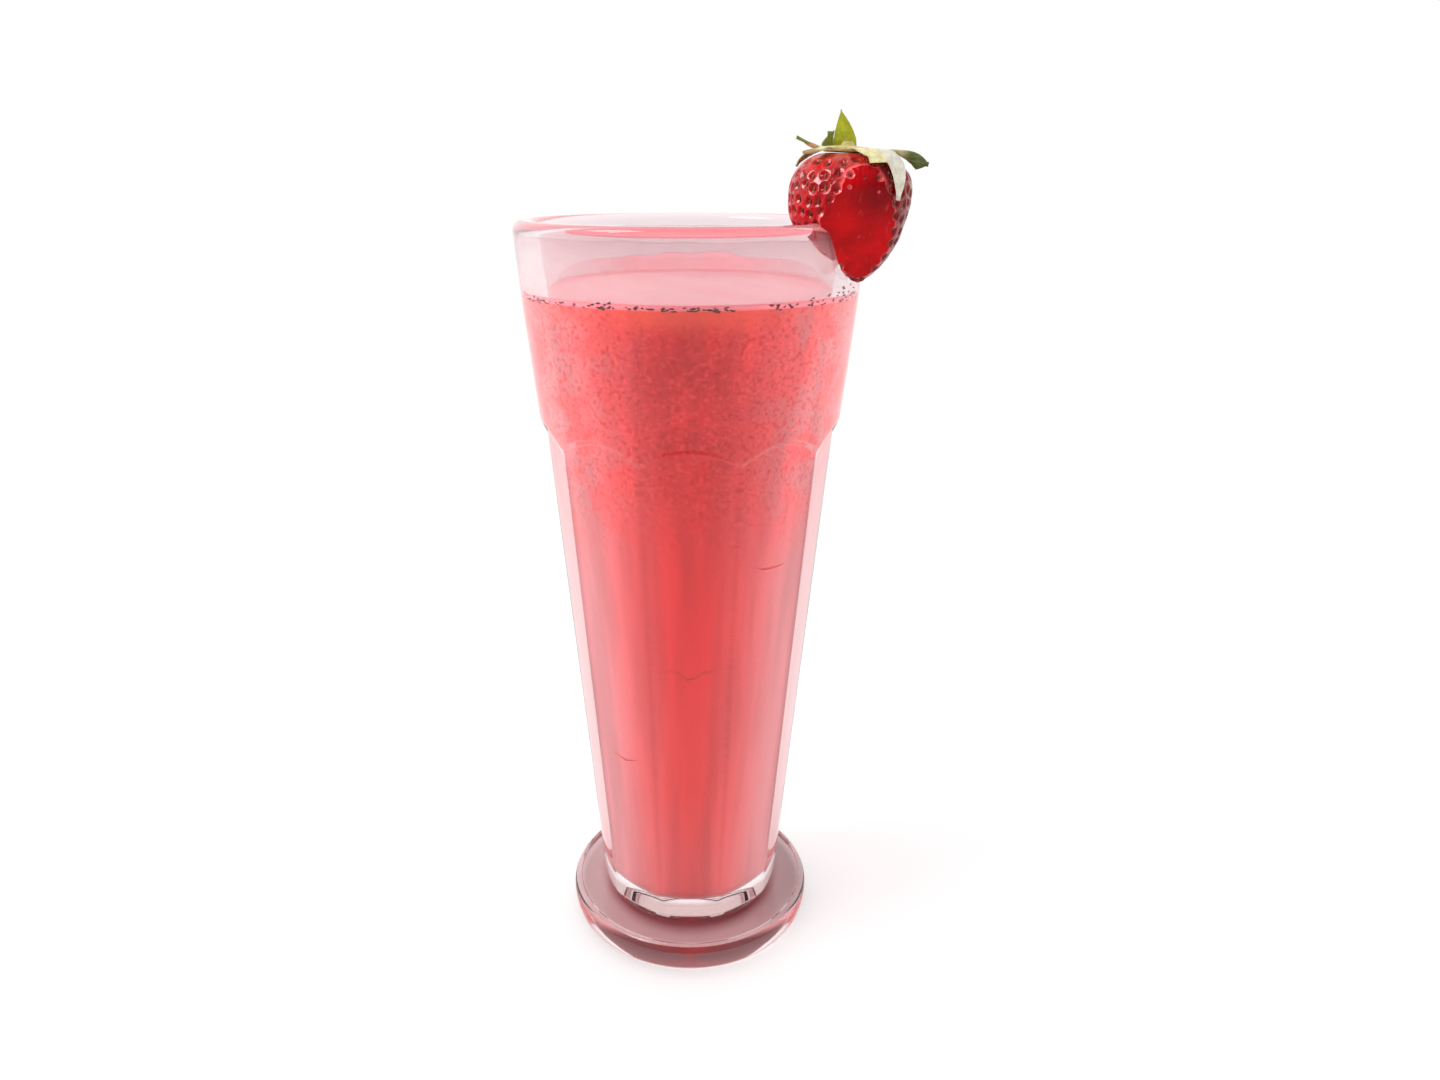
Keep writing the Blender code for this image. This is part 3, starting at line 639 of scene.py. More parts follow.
def axes_matrix(origin, along, out):
    """A matrix at origin with X along and Z out."""
    out = out.normalized()
    along = (along - out * along.dot(out)).normalized()
    side = out.cross(along)
    rows = Matrix((along, side, out)).transposed().to_4x4()
    return Matrix.Translation(origin) @ rows


def wall_place(angle, height, sunk, turn):
    """A matrix on the drink's outside at an angle and height, turned about the outward direction."""
    radius = inner_radius(height) + INTO_WALL - sunk
    out = Vector(polar(1.0, angle, 0.0))
    along = Vector((-math.sin(angle), math.cos(angle), 0.0))
    along = Matrix.Rotation(turn, 3, out) @ along
    return axes_matrix(Vector((radius * out.x, radius * out.y, height)), along, out)


def build_specks(finish):
    """Strawberry seeds that lie where the drink meets the wall, and a few just below."""
    draw = random.Random(SPECK_SEED)
    places = []
    for start, end, count, rise in SPECK_ROWS:
        for _ in range(count):
            angle = FRONT + math.radians(draw.uniform(start, end))
            height = DRINK_LEVEL + draw.triangular(-0.9, rise, -0.3) * MM
            size = draw.uniform(0.5, 1.25) * MM
            matrix = wall_place(angle, height, 0.02 * MM, draw.uniform(-0.4, 0.4))
            places.append((matrix, size, draw.uniform(0.40, 0.65) * MM, SPECK_HEIGHT))
    for _ in range(SPECKS_BELOW):
        angle = draw.uniform(-math.pi, math.pi)
        height = DRINK_LEVEL - draw.triangular(1, 60, 6) * MM
        size = draw.uniform(0.5, 1.0) * MM
        matrix = wall_place(angle, height, 0.16 * MM, draw.uniform(-1.5, 1.5))
        places.append((matrix, size, size * 0.7, 0.5 * MM))
    specks = place_drops("seed_specks", places)
    specks.data.materials.append(finish)
    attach(specks, "root")


def build_marks(finish):
    """The faint darker lines that show in the drink, as thin ribbons on its outside."""
    points = []
    faces = []
    for line in MARKS:
        start = len(points)
        for step in range(MARK_STEPS + 1):
            place = step / MARK_STEPS * (len(line) - 1)
            x, z = (float(np.interp(place, range(len(line)), values)) * MM for values in zip(*line))
            half = MARK_HEIGHT / 2 * math.sin(math.pi * (step + 1) / (MARK_STEPS + 2))
            for height, shift in ((z - half, 0.02), (z, 0.05), (z + half, 0.02), (z, -0.10)):
                radius = inner_radius(height) + INTO_WALL + shift * MM
                points.append(polar(radius, FRONT + math.asin(x / radius), height))
        for step in range(MARK_STEPS):
            for side in range(4):
                a = start + 4 * step + side
                b = start + 4 * step + (side + 1) % 4
                faces.append((a, b, b + 4, a + 4))
        faces.append((start, start + 1, start + 2, start + 3))
        last = start + 4 * MARK_STEPS
        faces.append((last + 3, last + 2, last + 1, last))
    marks = mesh_object("drink_marks", points, faces)
    marks.data.materials.append(finish)
    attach(marks, "root")
    return marks


# Strawberry


def berry_frame():
    place = Vector(polar(BERRY_FROM_AXIS, BERRY_AZIMUTH, BERRY_TIP_HEIGHT))
    middle = Vector((0.0, 0.0, BERRY_HEIGHT / 2))
    lean = Matrix.Translation(middle) @ Matrix.Rotation(BERRY_LEAN, 4, "Y")
    return Matrix.Translation(place) @ lean @ Matrix.Translation(-middle)


def berry_profile(height):
    if height <= BERRY_WIDEST_HEIGHT:
        share = max(height, 0.0) / BERRY_WIDEST_HEIGHT
        return BERRY_RADIUS * math.sin(math.pi / 2 * share ** TIP_BLUNTNESS)
    share = (height - BERRY_WIDEST_HEIGHT) / (BERRY_HEIGHT - BERRY_WIDEST_HEIGHT)
    return BERRY_RADIUS * math.sqrt(max(1 - min(share, 1.0) ** SHOULDER_POWER, 0.0))


def tip_swing(height):
    """How far the berry's tip bends aside."""
    share = min(max(height / TIP_SWING_HEIGHT, 0.0), 1.0)
    return TIP_SWING * (1 - share) ** TIP_SWING_POWER


def berry_point(height, angle):
    uneven = 0.0
    for count, share, phase, twist in LOBES:
        uneven += share * math.cos(count * angle + phase + twist * height)
    radius = berry_profile(height) * (1 + uneven)
    x = radius * math.cos(angle) + tip_swing(height)
    return Vector((x, radius * math.sin(angle), height))


def skin_axes(height, angle):
    """A point of the skin, the direction up along it and its outward normal."""
    point = berry_point(height, angle)
    step = 0.3 * MM
    up = (berry_point(height + step, angle) - berry_point(height - step, angle)).normalized()
    across = (berry_point(height, angle + 0.02) - berry_point(height, angle - 0.02)).normalized()
    return point, up, across.cross(up).normalized()


def slice_depth(height):
    """How far out from the berry's middle the sliced face lies at a height."""
    rise = (height - SLICE_HEIGHT) / SLICE_STRAIGHTENING
    return SLICE_DEPTH - SLICE_CURVE * (math.sqrt(1 + rise * rise) - 1)


def beyond_slice(point):
    """How far a point of the berry's frame lies outside the sliced face."""
    across = math.cos(SLICE_TURN) * point[1] - math.sin(SLICE_TURN) * point[0]
    return -across - slice_depth(point[2])


def seed_places():
    """(height, angle) of the seeds, in staggered rows, with a little disorder."""
    draw = random.Random(RANDOM_SEED)
    found = []
    rows = round((SEED_HIGHEST - SEED_LOWEST) / (SEED_SPACING * SEED_ROW_SHARE))
    for row in range(rows + 1):
        height = between(SEED_LOWEST, SEED_HIGHEST, row / rows)
        around = 2 * math.pi * berry_profile(height)
        count = max(4, round(around / SEED_SPACING))
        for index in range(count):
            angle = 2 * math.pi * (index + 0.5 * (row % 2)) / count
            up, aside = (draw.uniform(-most, most) for most in SEED_SCATTER)
            found.append((height + up, angle + aside / max(berry_profile(height), MM)))
    return found


def berry_skin(seeds):
    """Rings of the fine skin in the berry's frame, with dimples, ridges and a lip at the cut."""
    shoulder = BERRY_HEIGHT * SHOULDER_FLAT
    rows = []
    for row in range(1, BERRY_ROWS + 1):
        turn = math.pi * row / (BERRY_ROWS + 1)
        height = shoulder * (1 - math.cos(turn)) / 2
        ring = []
        for index in range(BERRY_SIDES):
            ring.append(berry_point(height, 2 * math.pi * index / BERRY_SIDES))
        rows.append(ring)
    edge = berry_profile(shoulder)
    for row in range(1, SHOULDER_ROWS):
        share = 1 - row / SHOULDER_ROWS
        level = shoulder - float(np.interp(share, SHOULDER_SHARES, SHOULDER_DROPS))
        ring = []
        for index in range(BERRY_SIDES):
            angle = 2 * math.pi * index / BERRY_SIDES
            ring.append(Vector(polar(edge * share, angle, level)))
        rows.append(ring)
    points = np.array([[tuple(point) for point in ring] for ring in rows])
    around = np.roll(points, -1, axis=1) - np.roll(points, 1, axis=1)
    along = np.gradient(points, axis=0)
    normals = np.cross(around, along)
    normals /= np.maximum(np.linalg.norm(normals, axis=2, keepdims=True), 1e-12)
    shift = np.zeros(points.shape[:2])
    ridge = np.zeros(points.shape[:2])
    for height, angle in seeds:
        centre = np.array(berry_point(height, angle))
        distance = np.linalg.norm(points - centre, axis=2)
        shift -= DIMPLE_DEPTH * np.exp(-(distance / DIMPLE_RADIUS) ** 2)
        ridge = np.maximum(ridge, np.exp(-((distance - RIDGE_RADIUS) / RIDGE_WIDTH) ** 2))
    shift += RIDGE_HEIGHT * ridge
    depth = np.array([[beyond_slice(point) for point in ring] for ring in points])
    shift += CUT_LIP_HEIGHT * np.exp(-((depth + CUT_LIP_INSET) / CUT_LIP_WIDTH) ** 2)
    fine = np.zeros(points.shape[:2])
    for row in range(points.shape[0]):
        for index in range(points.shape[1]):
            fine[row, index] = noise.noise(Vector(points[row, index]) * SKIN_GRAIN)
    shift += SKIN_GRAIN_HEIGHT * fine
    return points + normals * shift[..., None]


def slice_relief(x, y):
    found = 0.0
    for height, across, up, place in SLICE_RELIEF:
        found += height * noise.noise(Vector((x * across, y * up, place)))
    return found * MM


def slice_cutter(frame_matrix):
    """A block whose side towards the berry is the curved sliced face, with its relief."""
    columns = SLICE_COLUMNS
    rows = SLICE_ROWS
    placed = frame_matrix @ Matrix.Rotation(SLICE_TURN, 4, "Z")
    points = []
    for row in range(rows + 1):
        height = between(SLICE_LOWEST, SLICE_HIGHEST, row / rows)
        for column in range(columns + 1):
            x = (column / columns - 0.5) * SLICE_WIDTH
            depth = slice_depth(height) + slice_relief(x, height)
            points.append(placed @ Vector((x, -depth, height)))
    faces = []
    for row in range(rows):
        for column in range(columns):
            a = row * (columns + 1) + column
            faces.append((a, a + 1, a + columns + 2, a + columns + 1))
    border = list(range(columns))
    border += [row * (columns + 1) + columns for row in range(rows)]
    border += [rows * (columns + 1) + column for column in range(columns, 0, -1)]
    border += [row * (columns + 1) for row in range(rows, 0, -1)]
    start = len(points)
    lift = placed.to_3x3() @ Vector((0.0, -SLICE_BLOCK, 0.0))
    points += [points[index] + lift for index in border]
    for order, index in enumerate(border):
        following = (order + 1) % len(border)
        faces.append((index, border[following], start + following, start + order))
    middle = len(points)
    points.append(placed @ Vector((0.0, -SLICE_BLOCK - SLICE_DEPTH, SLICE_HEIGHT)))
    for order in range(len(border)):
        following = (order + 1) % len(border)
        faces.append((start + order, start + following, middle))
    return mesh_object("slice_tool", points, faces)


def slit_cutter():
    """The glass's wall made wider by the gap."""
    outline = wall_outline(GAP, SLIT_BOTTOM, 6, 10)
    rings = [round_ring(radius, height, SLIT_SIDES) for radius, height in outline]
    rings.append(rings[0])
    points, faces = loft(rings)
    tool = mesh_object("slit_tool", points, faces)
    merge(tool)
    return tool


def cut(target, tool):
    """Take the tool's shape away from the target. New faces keep the tool's material."""
    change = target.modifiers.new("cut", "BOOLEAN")
    change.operation = "DIFFERENCE"
    change.solver = "EXACT"
    change.material_mode = "TRANSFER"
    change.object = tool
    bpy.context.view_layer.update()
    graph = bpy.context.evaluated_depsgraph_get()
    result = bpy.data.meshes.new_from_object(target.evaluated_get(graph))
    target.modifiers.remove(change)
    target.data = result
    bpy.data.objects.remove(tool, do_unlink=True)


def mark_painted_pit_shade(target, centres):
    """Write how near each point is to a seed, for the painted shade in the hollow round it."""
    tree = kdtree.KDTree(len(centres))
    for index, centre in enumerate(centres):
        tree.insert(centre, index)
    tree.balance()
    distances = [tree.find(point.co)[2] for point in target.data.vertices]
    write_shares(target, "painted_pit_shade", [math.exp(-(distance / PIT_SHADE_RADIUS) ** 4) for distance in distances])


def mark_painted_cut_highlight(target, matrix):
    """Write how near each point is to the edge of the sliced face, for the painted highlight along the
    ridge there.
    """
    back = matrix.inverted()
    distances = [beyond_slice(back @ point.co) for point in target.data.vertices]
    write_shares(target, "painted_cut_highlight", [math.exp(-(beyond / PAINTED_HIGHLIGHT_WIDTH) ** 2) for beyond in distances])


def build_berry(skin, flesh, inside, seed_finish):
    matrix = berry_frame()
    seeds = seed_places()
    rings = berry_skin(seeds)
    world_rings = [[matrix @ Vector(point) for point in ring] for ring in rings]
    tip = matrix @ Vector((TIP_SWING, 0.0, 0.0))
    top_level = BERRY_HEIGHT * SHOULDER_FLAT - SHOULDER_DROPS[0]
    top = matrix @ Vector((0.0, 0.0, top_level))
    points, faces = loft(world_rings, tip, top)
    berry = mesh_object("strawberry_flesh", points, faces)
    berry.data.materials.append(skin)
    for tool, finish in ((slice_cutter(matrix), flesh), (slit_cutter(), inside)):
        tool.data.materials.append(finish)
        cut(berry, tool)
    berry.data.shade_smooth()
    berry.data.set_sharp_from_angle(angle=SHARP_ANGLE)
    mark_painted_pit_shade(berry, [matrix @ berry_point(height, angle) for height, angle in seeds])
    mark_painted_cut_highlight(berry, matrix)
    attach(berry, "root")
    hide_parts("strawberry")

    places = []
    draw = random.Random(RANDOM_SEED + 1)
    for height, angle in seeds:
        point, up, out = skin_axes(height, angle)
        if beyond_slice(point) > -SEED_CLEARANCE:
            continue
        placed = matrix @ point
        distance = math.hypot(placed.x, placed.y)
        low = RIM_INNER_RADIUS - WALL_TAPER - SEED_CLEARANCE
        high = RIM_RADIUS + SEED_CLEARANCE
        if low < distance < high and placed.z < GLASS_HEIGHT + SEED_CLEARANCE:
            continue
        turn = Matrix.Rotation(draw.uniform(-SEED_TURN, SEED_TURN), 3, out)
        local = axes_matrix(point - out * SEED_SUNK, turn @ up, out)
        size = draw.uniform(*SEED_SIZES)
        places.append((matrix @ local, SEED_LENGTH * size, SEED_WIDTH * size, SEED_HEIGHT))
    grains = place_drops("strawberry_seeds", places)
    grains.data.materials.append(seed_finish)
    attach(grains, "root")
    return berry


# Leaves


GREEN = (0.52, 0.55, 0.004)
OLIVE = (0.24, 0.27, 0.03)
DARK_OLIVE = (0.11, 0.14, 0.02)
PALE = (0.90, 0.86, 0.46)
WHITISH = (0.90, 0.84, 0.70)
CREAM = (0.96, 0.86, 0.46)
BROWNISH = (0.55, 0.36, 0.17)
CAP_COLOUR = (0.74, 0.62, 0.24)

# Leaves by name: side, start, length, width, lift, sway, fold, tip width, taper, turn, and the
# colours of base and tip
LEAVES = {
    "upright": (92, 1.0, 8.4, 5.6, (94, 84, 1.0), 13, 0.08, 0.07, 1.6, 0, GREEN, GREEN),
    "curled": (150, 3.1, 3.9, 7.0, (66, 104, 1.0), 6, 0.14, 0.50, 2.4, 0, OLIVE, OLIVE),
    "left_thin": (196, 4.2, 8.0, 1.9, (8, 24, 1.0), -4, 0.10, 0.12, 2.4, 0, PALE, OLIVE),
    "left_low": (222, 3.9, 9.2, 2.8, (0, -14, 1.0), -8, 0.14, 0.10, 2.4, 10, PALE, BROWNISH),
    "front_nub": (297, 3.0, 8.4, 6.2, (0, -74, 0.8), 0, 0.06, 0.45, 4.0, 0, CREAM, CREAM),
    "right_low": (318, 4.0, 14.0, 5.6, (2, -92, 0.72), -4, 0.10, 0.10, 2.4, 0, WHITISH, WHITISH),
    "right_long": (352, 4.0, 14.0, 6.4, (-6, -12, 1.0), 0, 0.12, 0.14, 4.0, -80, PALE, DARK_OLIVE),
    "back_right": (32, 3.8, 11.5, 5.0, (2, -60, 1.0), 8, 0.12, 0.08, 2.4, 0, GREEN, OLIVE),
    "back_middle": (66, 3.8, 11.5, 5.4, (4, -64, 1.0), -6, 0.12, 0.08, 2.4, 0, GREEN, GREEN),
    "back_left": (134, 3.8, 10.0, 4.8, (4, -56, 1.0), 8, 0.12, 0.08, 2.4, 0, GREEN, OLIVE),
}


def leaf_width(share, tip_width, taper):
    spread = min(1.0, LEAF_BASE_WIDTH + LEAF_SPREAD * share)
    return max(spread * (1 - share ** taper), tip_width)


def above_skin(point):
    """The point moved outward until a leaf there clears the skin."""
    room = LEAF_CLEARANCE + LEAF_THICKNESS / 2 + LEAF_EXTRA_ROOM
    middle = Vector((0.0, 0.0, BERRY_WIDEST_HEIGHT))
    shoulder = BERRY_HEIGHT * SHOULDER_FLAT
    moved = point.copy()
    for step in range(OUTWARD_TRIES):
        height = moved.z - room if moved.z > BERRY_WIDEST_HEIGHT + room else moved.z
        angle = math.atan2(moved.y, moved.x)
        reach = berry_point(min(height, shoulder), angle).to_2d().length + room
        if moved.to_2d().length >= reach or height >= shoulder:
            break
        moved = middle + (point - middle) * (1 + OUTWARD_STEP * (step + 1))
    return moved


def leaf_points(side, start, length, width, lift, sway, fold, tip_width, taper, turn):
    """Grid of one leaf: points, outward directions, and the shares along and across it."""
    level = BERRY_HEIGHT * SHOULDER_FLAT + LEAF_CLEARANCE + LEAF_RISE
    heading = math.radians(side)
    centre = Vector(polar(start * MM, heading, level))
    centre.x += CAP_SHIFT
    base_slope, tip_slope, knee = lift
    grid = []
    for step in range(LEAF_STEPS + 1):
        share = step / LEAF_STEPS
        slope = math.radians(between(base_slope, tip_slope, ease(share / knee)))
        out = Vector(polar(1.0, heading, 0.0))
        along = out * math.cos(slope) + Vector((0.0, 0.0, math.sin(slope)))
        across = Vector((-math.sin(heading), math.cos(heading), 0.0))
        along = (along + across * math.tan(math.radians(sway))).normalized()
        across = (across - along * across.dot(along)).normalized()
        across = Matrix.Rotation(math.radians(turn) * share, 3, along) @ across
        face = along.cross(across).normalized()
        half = width * MM * leaf_width(share, tip_width, taper) / 2
        wave = LEAF_WAVE * math.sin(LEAF_WAVE_TURNS * share + side)
        row = []
        for column in range(LEAF_COLUMNS):
            place = 2 * column / (LEAF_COLUMNS - 1) - 1
            raised = -2 * fold * half * abs(place) ** LEAF_FOLD_POWER - wave * place
            vein = VEIN_HEIGHT * math.exp(-(place / VEIN_WIDTH) ** 2)
            point = above_skin(centre + across * half * place + face * (raised + vein))
            row.append((point, face, share, place))
        grid.append(row)
        centre = centre + along * (length * MM / LEAF_STEPS)
    return grid


def build_leaves(finish):
    matrix = berry_frame()
    points = []
    faces = []
    colours = []
    shares = []
    places = []
    per_layer = (LEAF_STEPS + 1) * LEAF_COLUMNS
    for sizes in LEAVES.values():
        base_colour = Vector(sizes[-2])
        tip_colour = Vector(sizes[-1])
        grid = leaf_points(*sizes[:-2])
        start = len(points)
        for offset in (0.5, -0.5):
            for row in grid:
                for point, face, share, place in row:
                    thick = LEAF_THICKNESS * (1 - LEAF_THINNING * abs(place) ** 3)
                    points.append(tuple(matrix @ (point + face * thick * offset)))
                    change = ease(share_of(share, *LEAF_COLOUR_CHANGE))
                    colours.append(base_colour.lerp(tip_colour, change))
                    shares.append(share)
                    places.append(place)
        for step in range(LEAF_STEPS):
            for column in range(LEAF_COLUMNS - 1):
                a = start + step * LEAF_COLUMNS + column
                b = a + 1
                c = b + LEAF_COLUMNS
                d = a + LEAF_COLUMNS
                faces += [(a, b, c), (a, c, d)]
                faces += [
                    (per_layer + a, per_layer + c, per_layer + b),
                    (per_layer + a, per_layer + d, per_layer + c),
                ]
        last = LEAF_COLUMNS - 1
        border = [step * LEAF_COLUMNS for step in range(LEAF_STEPS + 1)]
        border += [LEAF_STEPS * LEAF_COLUMNS + column for column in range(1, last)]
        border += [step * LEAF_COLUMNS + last for step in range(LEAF_STEPS, -1, -1)]
        border += list(range(last - 1, 0, -1))
        for order, index in enumerate(border):
            a = start + index
            b = start + border[(order + 1) % len(border)]
            faces += [(a, b, per_layer + b), (a, per_layer + b, per_layer + a)]

    level = BERRY_HEIGHT * SHOULDER_FLAT + LEAF_CLEARANCE - CAP_DROP
    outline = (
        (0.5, 0.0), (0.95, 0.0), (0.99, 0.12), (1.0, 0.45), (0.98, 0.8), (0.9, 1.0),
        (0.65, 1.08), (0.4, 1.15), (0.27, 1.35), (0.22, 1.9), (0.16, 2.05),
    )
    rings = []
    for radius_share, height_share in outline:
        ring = []
        for index in range(CAP_SIDES):
            angle = 2 * math.pi * index / CAP_SIDES
            radius = CAP_RADIUS * radius_share * (1 + CAP_UNEVENNESS * math.cos(CAP_LOBES * angle))
            rough = 0.12 * MM * noise.noise(Vector((angle * 3, height_share * 4, 1.0)))
            ring.append(matrix @ Vector((
                (radius + rough) * math.cos(angle) + CAP_SHIFT,
                (radius + rough) * math.sin(angle),
                level + height_share * CAP_THICKNESS,
            )))
        rings.append(ring)
    bottom = matrix @ Vector((CAP_SHIFT, 0.0, level))
    top = matrix @ Vector((CAP_SHIFT, 0.0, level + 2.1 * CAP_THICKNESS))
    cap, cap_faces = loft(rings, bottom, top)
    start = len(points)
    points += [tuple(point) for point in cap]
    faces += [tuple(start + index for index in face) for face in cap_faces]
    colours += [Vector(CAP_COLOUR)] * len(cap)
    shares += [0.0] * len(cap)
    places += [0.3] * len(cap)

    leaves = mesh_object("strawberry_crown", points, faces, SHARP_ANGLE)
    tint = leaves.data.attributes.new("tint", "FLOAT_COLOR", "POINT")
    tint.data.foreach_set("color", np.array([[*c, 1.0] for c in colours], np.float32).ravel())
    write_shares(leaves, "along", shares)
    write_shares(leaves, "across", places)
    leaves.data.materials.append(finish)
    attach(leaves, "root")
    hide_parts("strawberry_leaves")


# Finishes


class Finish:
    """A material and short ways to add nodes to it."""

    def __init__(self, name):
        self.material = bpy.data.materials.new(name)
        self.material.use_nodes = True
        self.tree = self.material.node_tree
        self.shader = self.tree.nodes["Principled BSDF"]
        self.output = self.tree.nodes["Material Output"]
        self.position = self.node("ShaderNodeTexCoord").outputs["Object"]

    def node(self, kind, **values):
        made = self.tree.nodes.new(kind)
        for name, value in values.items():
            setattr(made, name, value)
        return made

    def link(self, source, target):
        self.tree.links.new(source, target)

    def feed(self, socket, value):
        """Link the result of a node, or set a colour or a number."""
        if isinstance(value, bpy.types.NodeSocket):
            self.link(value, socket)
        elif isinstance(value, tuple):
            socket.default_value = (*value, 1.0)
        else:
            socket.default_value = value

    def set(self, **values):
        for name, value in values.items():
            self.feed(self.shader.inputs[name.replace("_", " ")], value)

    def pattern(self, kind, scale, stretch):
        """A pattern node with a scale per metre, stretched along the axes."""
        mapping = self.node("ShaderNodeMapping")
        mapping.inputs["Scale"].default_value = stretch
        self.link(self.position, mapping.inputs["Vector"])
        made = self.node(kind)
        made.inputs["Scale"].default_value = scale
        self.link(mapping.outputs["Vector"], made.inputs["Vector"])
        return made

    def noise(self, scale, detail=3.0, roughness=0.5, stretch=(1, 1, 1)):
        made = self.pattern("ShaderNodeTexNoise", scale, stretch)
        made.inputs["Detail"].default_value = detail
        made.inputs["Roughness"].default_value = roughness
        return made.outputs["Fac"]

    def cells(self, scale, stretch=(1, 1, 1)):
        """Distance to the nearest of scattered points."""
        return self.pattern("ShaderNodeTexVoronoi", scale, stretch).outputs["Distance"]

    def ramp(self, value, low, high, start=0.0, end=1.0):
        """Map value from low..high to start..end, smooth at both ends."""
        made = self.node("ShaderNodeMapRange", interpolation_type="SMOOTHSTEP")
        self.link(value, made.inputs["Value"])
        made.inputs["From Min"].default_value = low
        made.inputs["From Max"].default_value = high
        made.inputs["To Min"].default_value = start
        made.inputs["To Max"].default_value = end
        return made.outputs["Result"]

    def math(self, operation, first, second=0.0):
        made = self.node("ShaderNodeMath", operation=operation)
        self.feed(made.inputs[0], first)
        self.feed(made.inputs[1], second)
        return made.outputs["Value"]

    def times(self, first, second):
        return self.math("MULTIPLY", first, second)

    def mix(self, share, first, second, blend="MIX"):
        """Mix two colours by a share."""
        made = self.node("ShaderNodeMix", data_type="RGBA", blend_type=blend)
        sockets = [socket for socket in made.inputs if socket.enabled]
        for socket, value in zip(sockets, (share, first, second)):
            self.feed(socket, value)
        return [socket for socket in made.outputs if socket.enabled][0]

    def over(self, colour, tint, mask, strength):
        """The colour with a tint laid over it where the mask says."""
        return self.mix(self.times(mask, strength), colour, tint)

    def vector(self, operation, first, second=(0.0, 0.0, 0.0)):
        made = self.node("ShaderNodeVectorMath", operation=operation)
        self.link(first, made.inputs[0])
        made.inputs[1].default_value = second
        return made.outputs["Value" if operation == "LENGTH" else "Vector"]

    def near(self, centre, radii):
        """1 round a place in mm, fading to 0 a little beyond its radii."""
        away = self.vector("SUBTRACT", self.position, [value * MM for value in centre])
        scaled = self.vector("DIVIDE", away, [value * MM for value in radii])
        return self.ramp(self.vector("LENGTH", scaled), 0.2, 1.3, 1.0, 0.0)

    def place(self, axis):
        """Place along X, Y or Z, in metres."""
        split = self.node("ShaderNodeSeparateXYZ")
        self.link(self.position, split.inputs["Vector"])
        return split.outputs[axis]

    def attribute(self, name, output="Fac"):
        """What the mesh says at each point."""
        return self.node("ShaderNodeAttribute", attribute_name=name).outputs[output]

    def bump(self, value, distance, strength):
        made = self.node("ShaderNodeBump")
        made.inputs["Distance"].default_value = distance
        made.inputs["Strength"].default_value = strength
        self.link(value, made.inputs["Height"])
        self.link(made.outputs["Normal"], self.shader.inputs["Normal"])


def glass_finish():
    """Clear glass with painted pink reflections of the drink all over, strong in its thick foot and a
    little in its lip, painted shadows and a painted highlight in the foot, and painted shade on the
    facets' edges.
    """
    finish = Finish("clear_glass")
    height = finish.place("Z")
    radius = finish.vector("LENGTH", finish.vector("MULTIPLY", finish.position, (1.0, 1.0, 0.0)))
    foot = finish.ramp(height, 16 * MM, 9 * MM)
    heel = finish.ramp(height, 17.5 * MM, 15.5 * MM)
    heel = finish.times(heel, finish.ramp(height, 9.8 * MM, 10.4 * MM))
    below_neck = finish.ramp(height, 9.5 * MM, 9.0 * MM)
    painted_rim_highlight = finish.times(finish.ramp(radius, 32.5 * MM, 35 * MM), below_neck)
    under = finish.ramp(height, 0.2 * MM, 0.6 * MM, 1.0, 0.0)
    under = finish.times(under, finish.ramp(radius, 21 * MM, 27 * MM, 1.0, 0.0))
    painted_shadow_crescent = finish.times(finish.ramp(radius, 25.5 * MM, 28.5 * MM, 1.0, 0.0), below_neck)
    painted_shadow_crescent = finish.times(painted_shadow_crescent, finish.ramp(height, 7.5 * MM, 8.2 * MM))
    lip = finish.ramp(height, 194 * MM, 200 * MM)
    # Painted tints: a pale pink reflection of the drink all over, a strong one in the foot and heel and a
    # faint one in the lip, painted shadow under the foot and in a crescent by the neck, a painted
    # highlight on the foot's rim, and painted shade on the facets' edges.
    colour = (0.945, 0.90, 0.905)
    for share, tint in (
        (foot, (0.57, 0.38, 0.39)),
        (heel, (0.50, 0.35, 0.33)),
        (painted_rim_highlight, (0.92, 0.76, 0.79)),
        (under, (0.20, 0.045, 0.055)),
        (painted_shadow_crescent, (0.45, 0.17, 0.19)),
        (lip, (0.86, 0.76, 0.78)),
        (finish.attribute("edge"), (0.24, 0.17, 0.19)),
    ):
        colour = finish.mix(share, colour, tint)
    finish.set(Base_Color=colour, Roughness=0.0, IOR=1.5, Transmission_Weight=1.0)
    finish.bump(finish.noise(55, 1.0, stretch=(1, 1, 0.35)), 0.05 * MM, 0.5)
    path = finish.node("ShaderNodeLightPath")
    clear = finish.node("ShaderNodeBsdfTransparent")
    blend = finish.node("ShaderNodeMixShader")
    finish.link(path.outputs["Is Shadow Ray"], blend.inputs[0])
    finish.link(finish.shader.outputs["BSDF"], blend.inputs[1])
    finish.link(clear.outputs["BSDF"], blend.inputs[2])
    finish.link(blend.outputs["Shader"], finish.output.inputs["Surface"])
    return finish.material


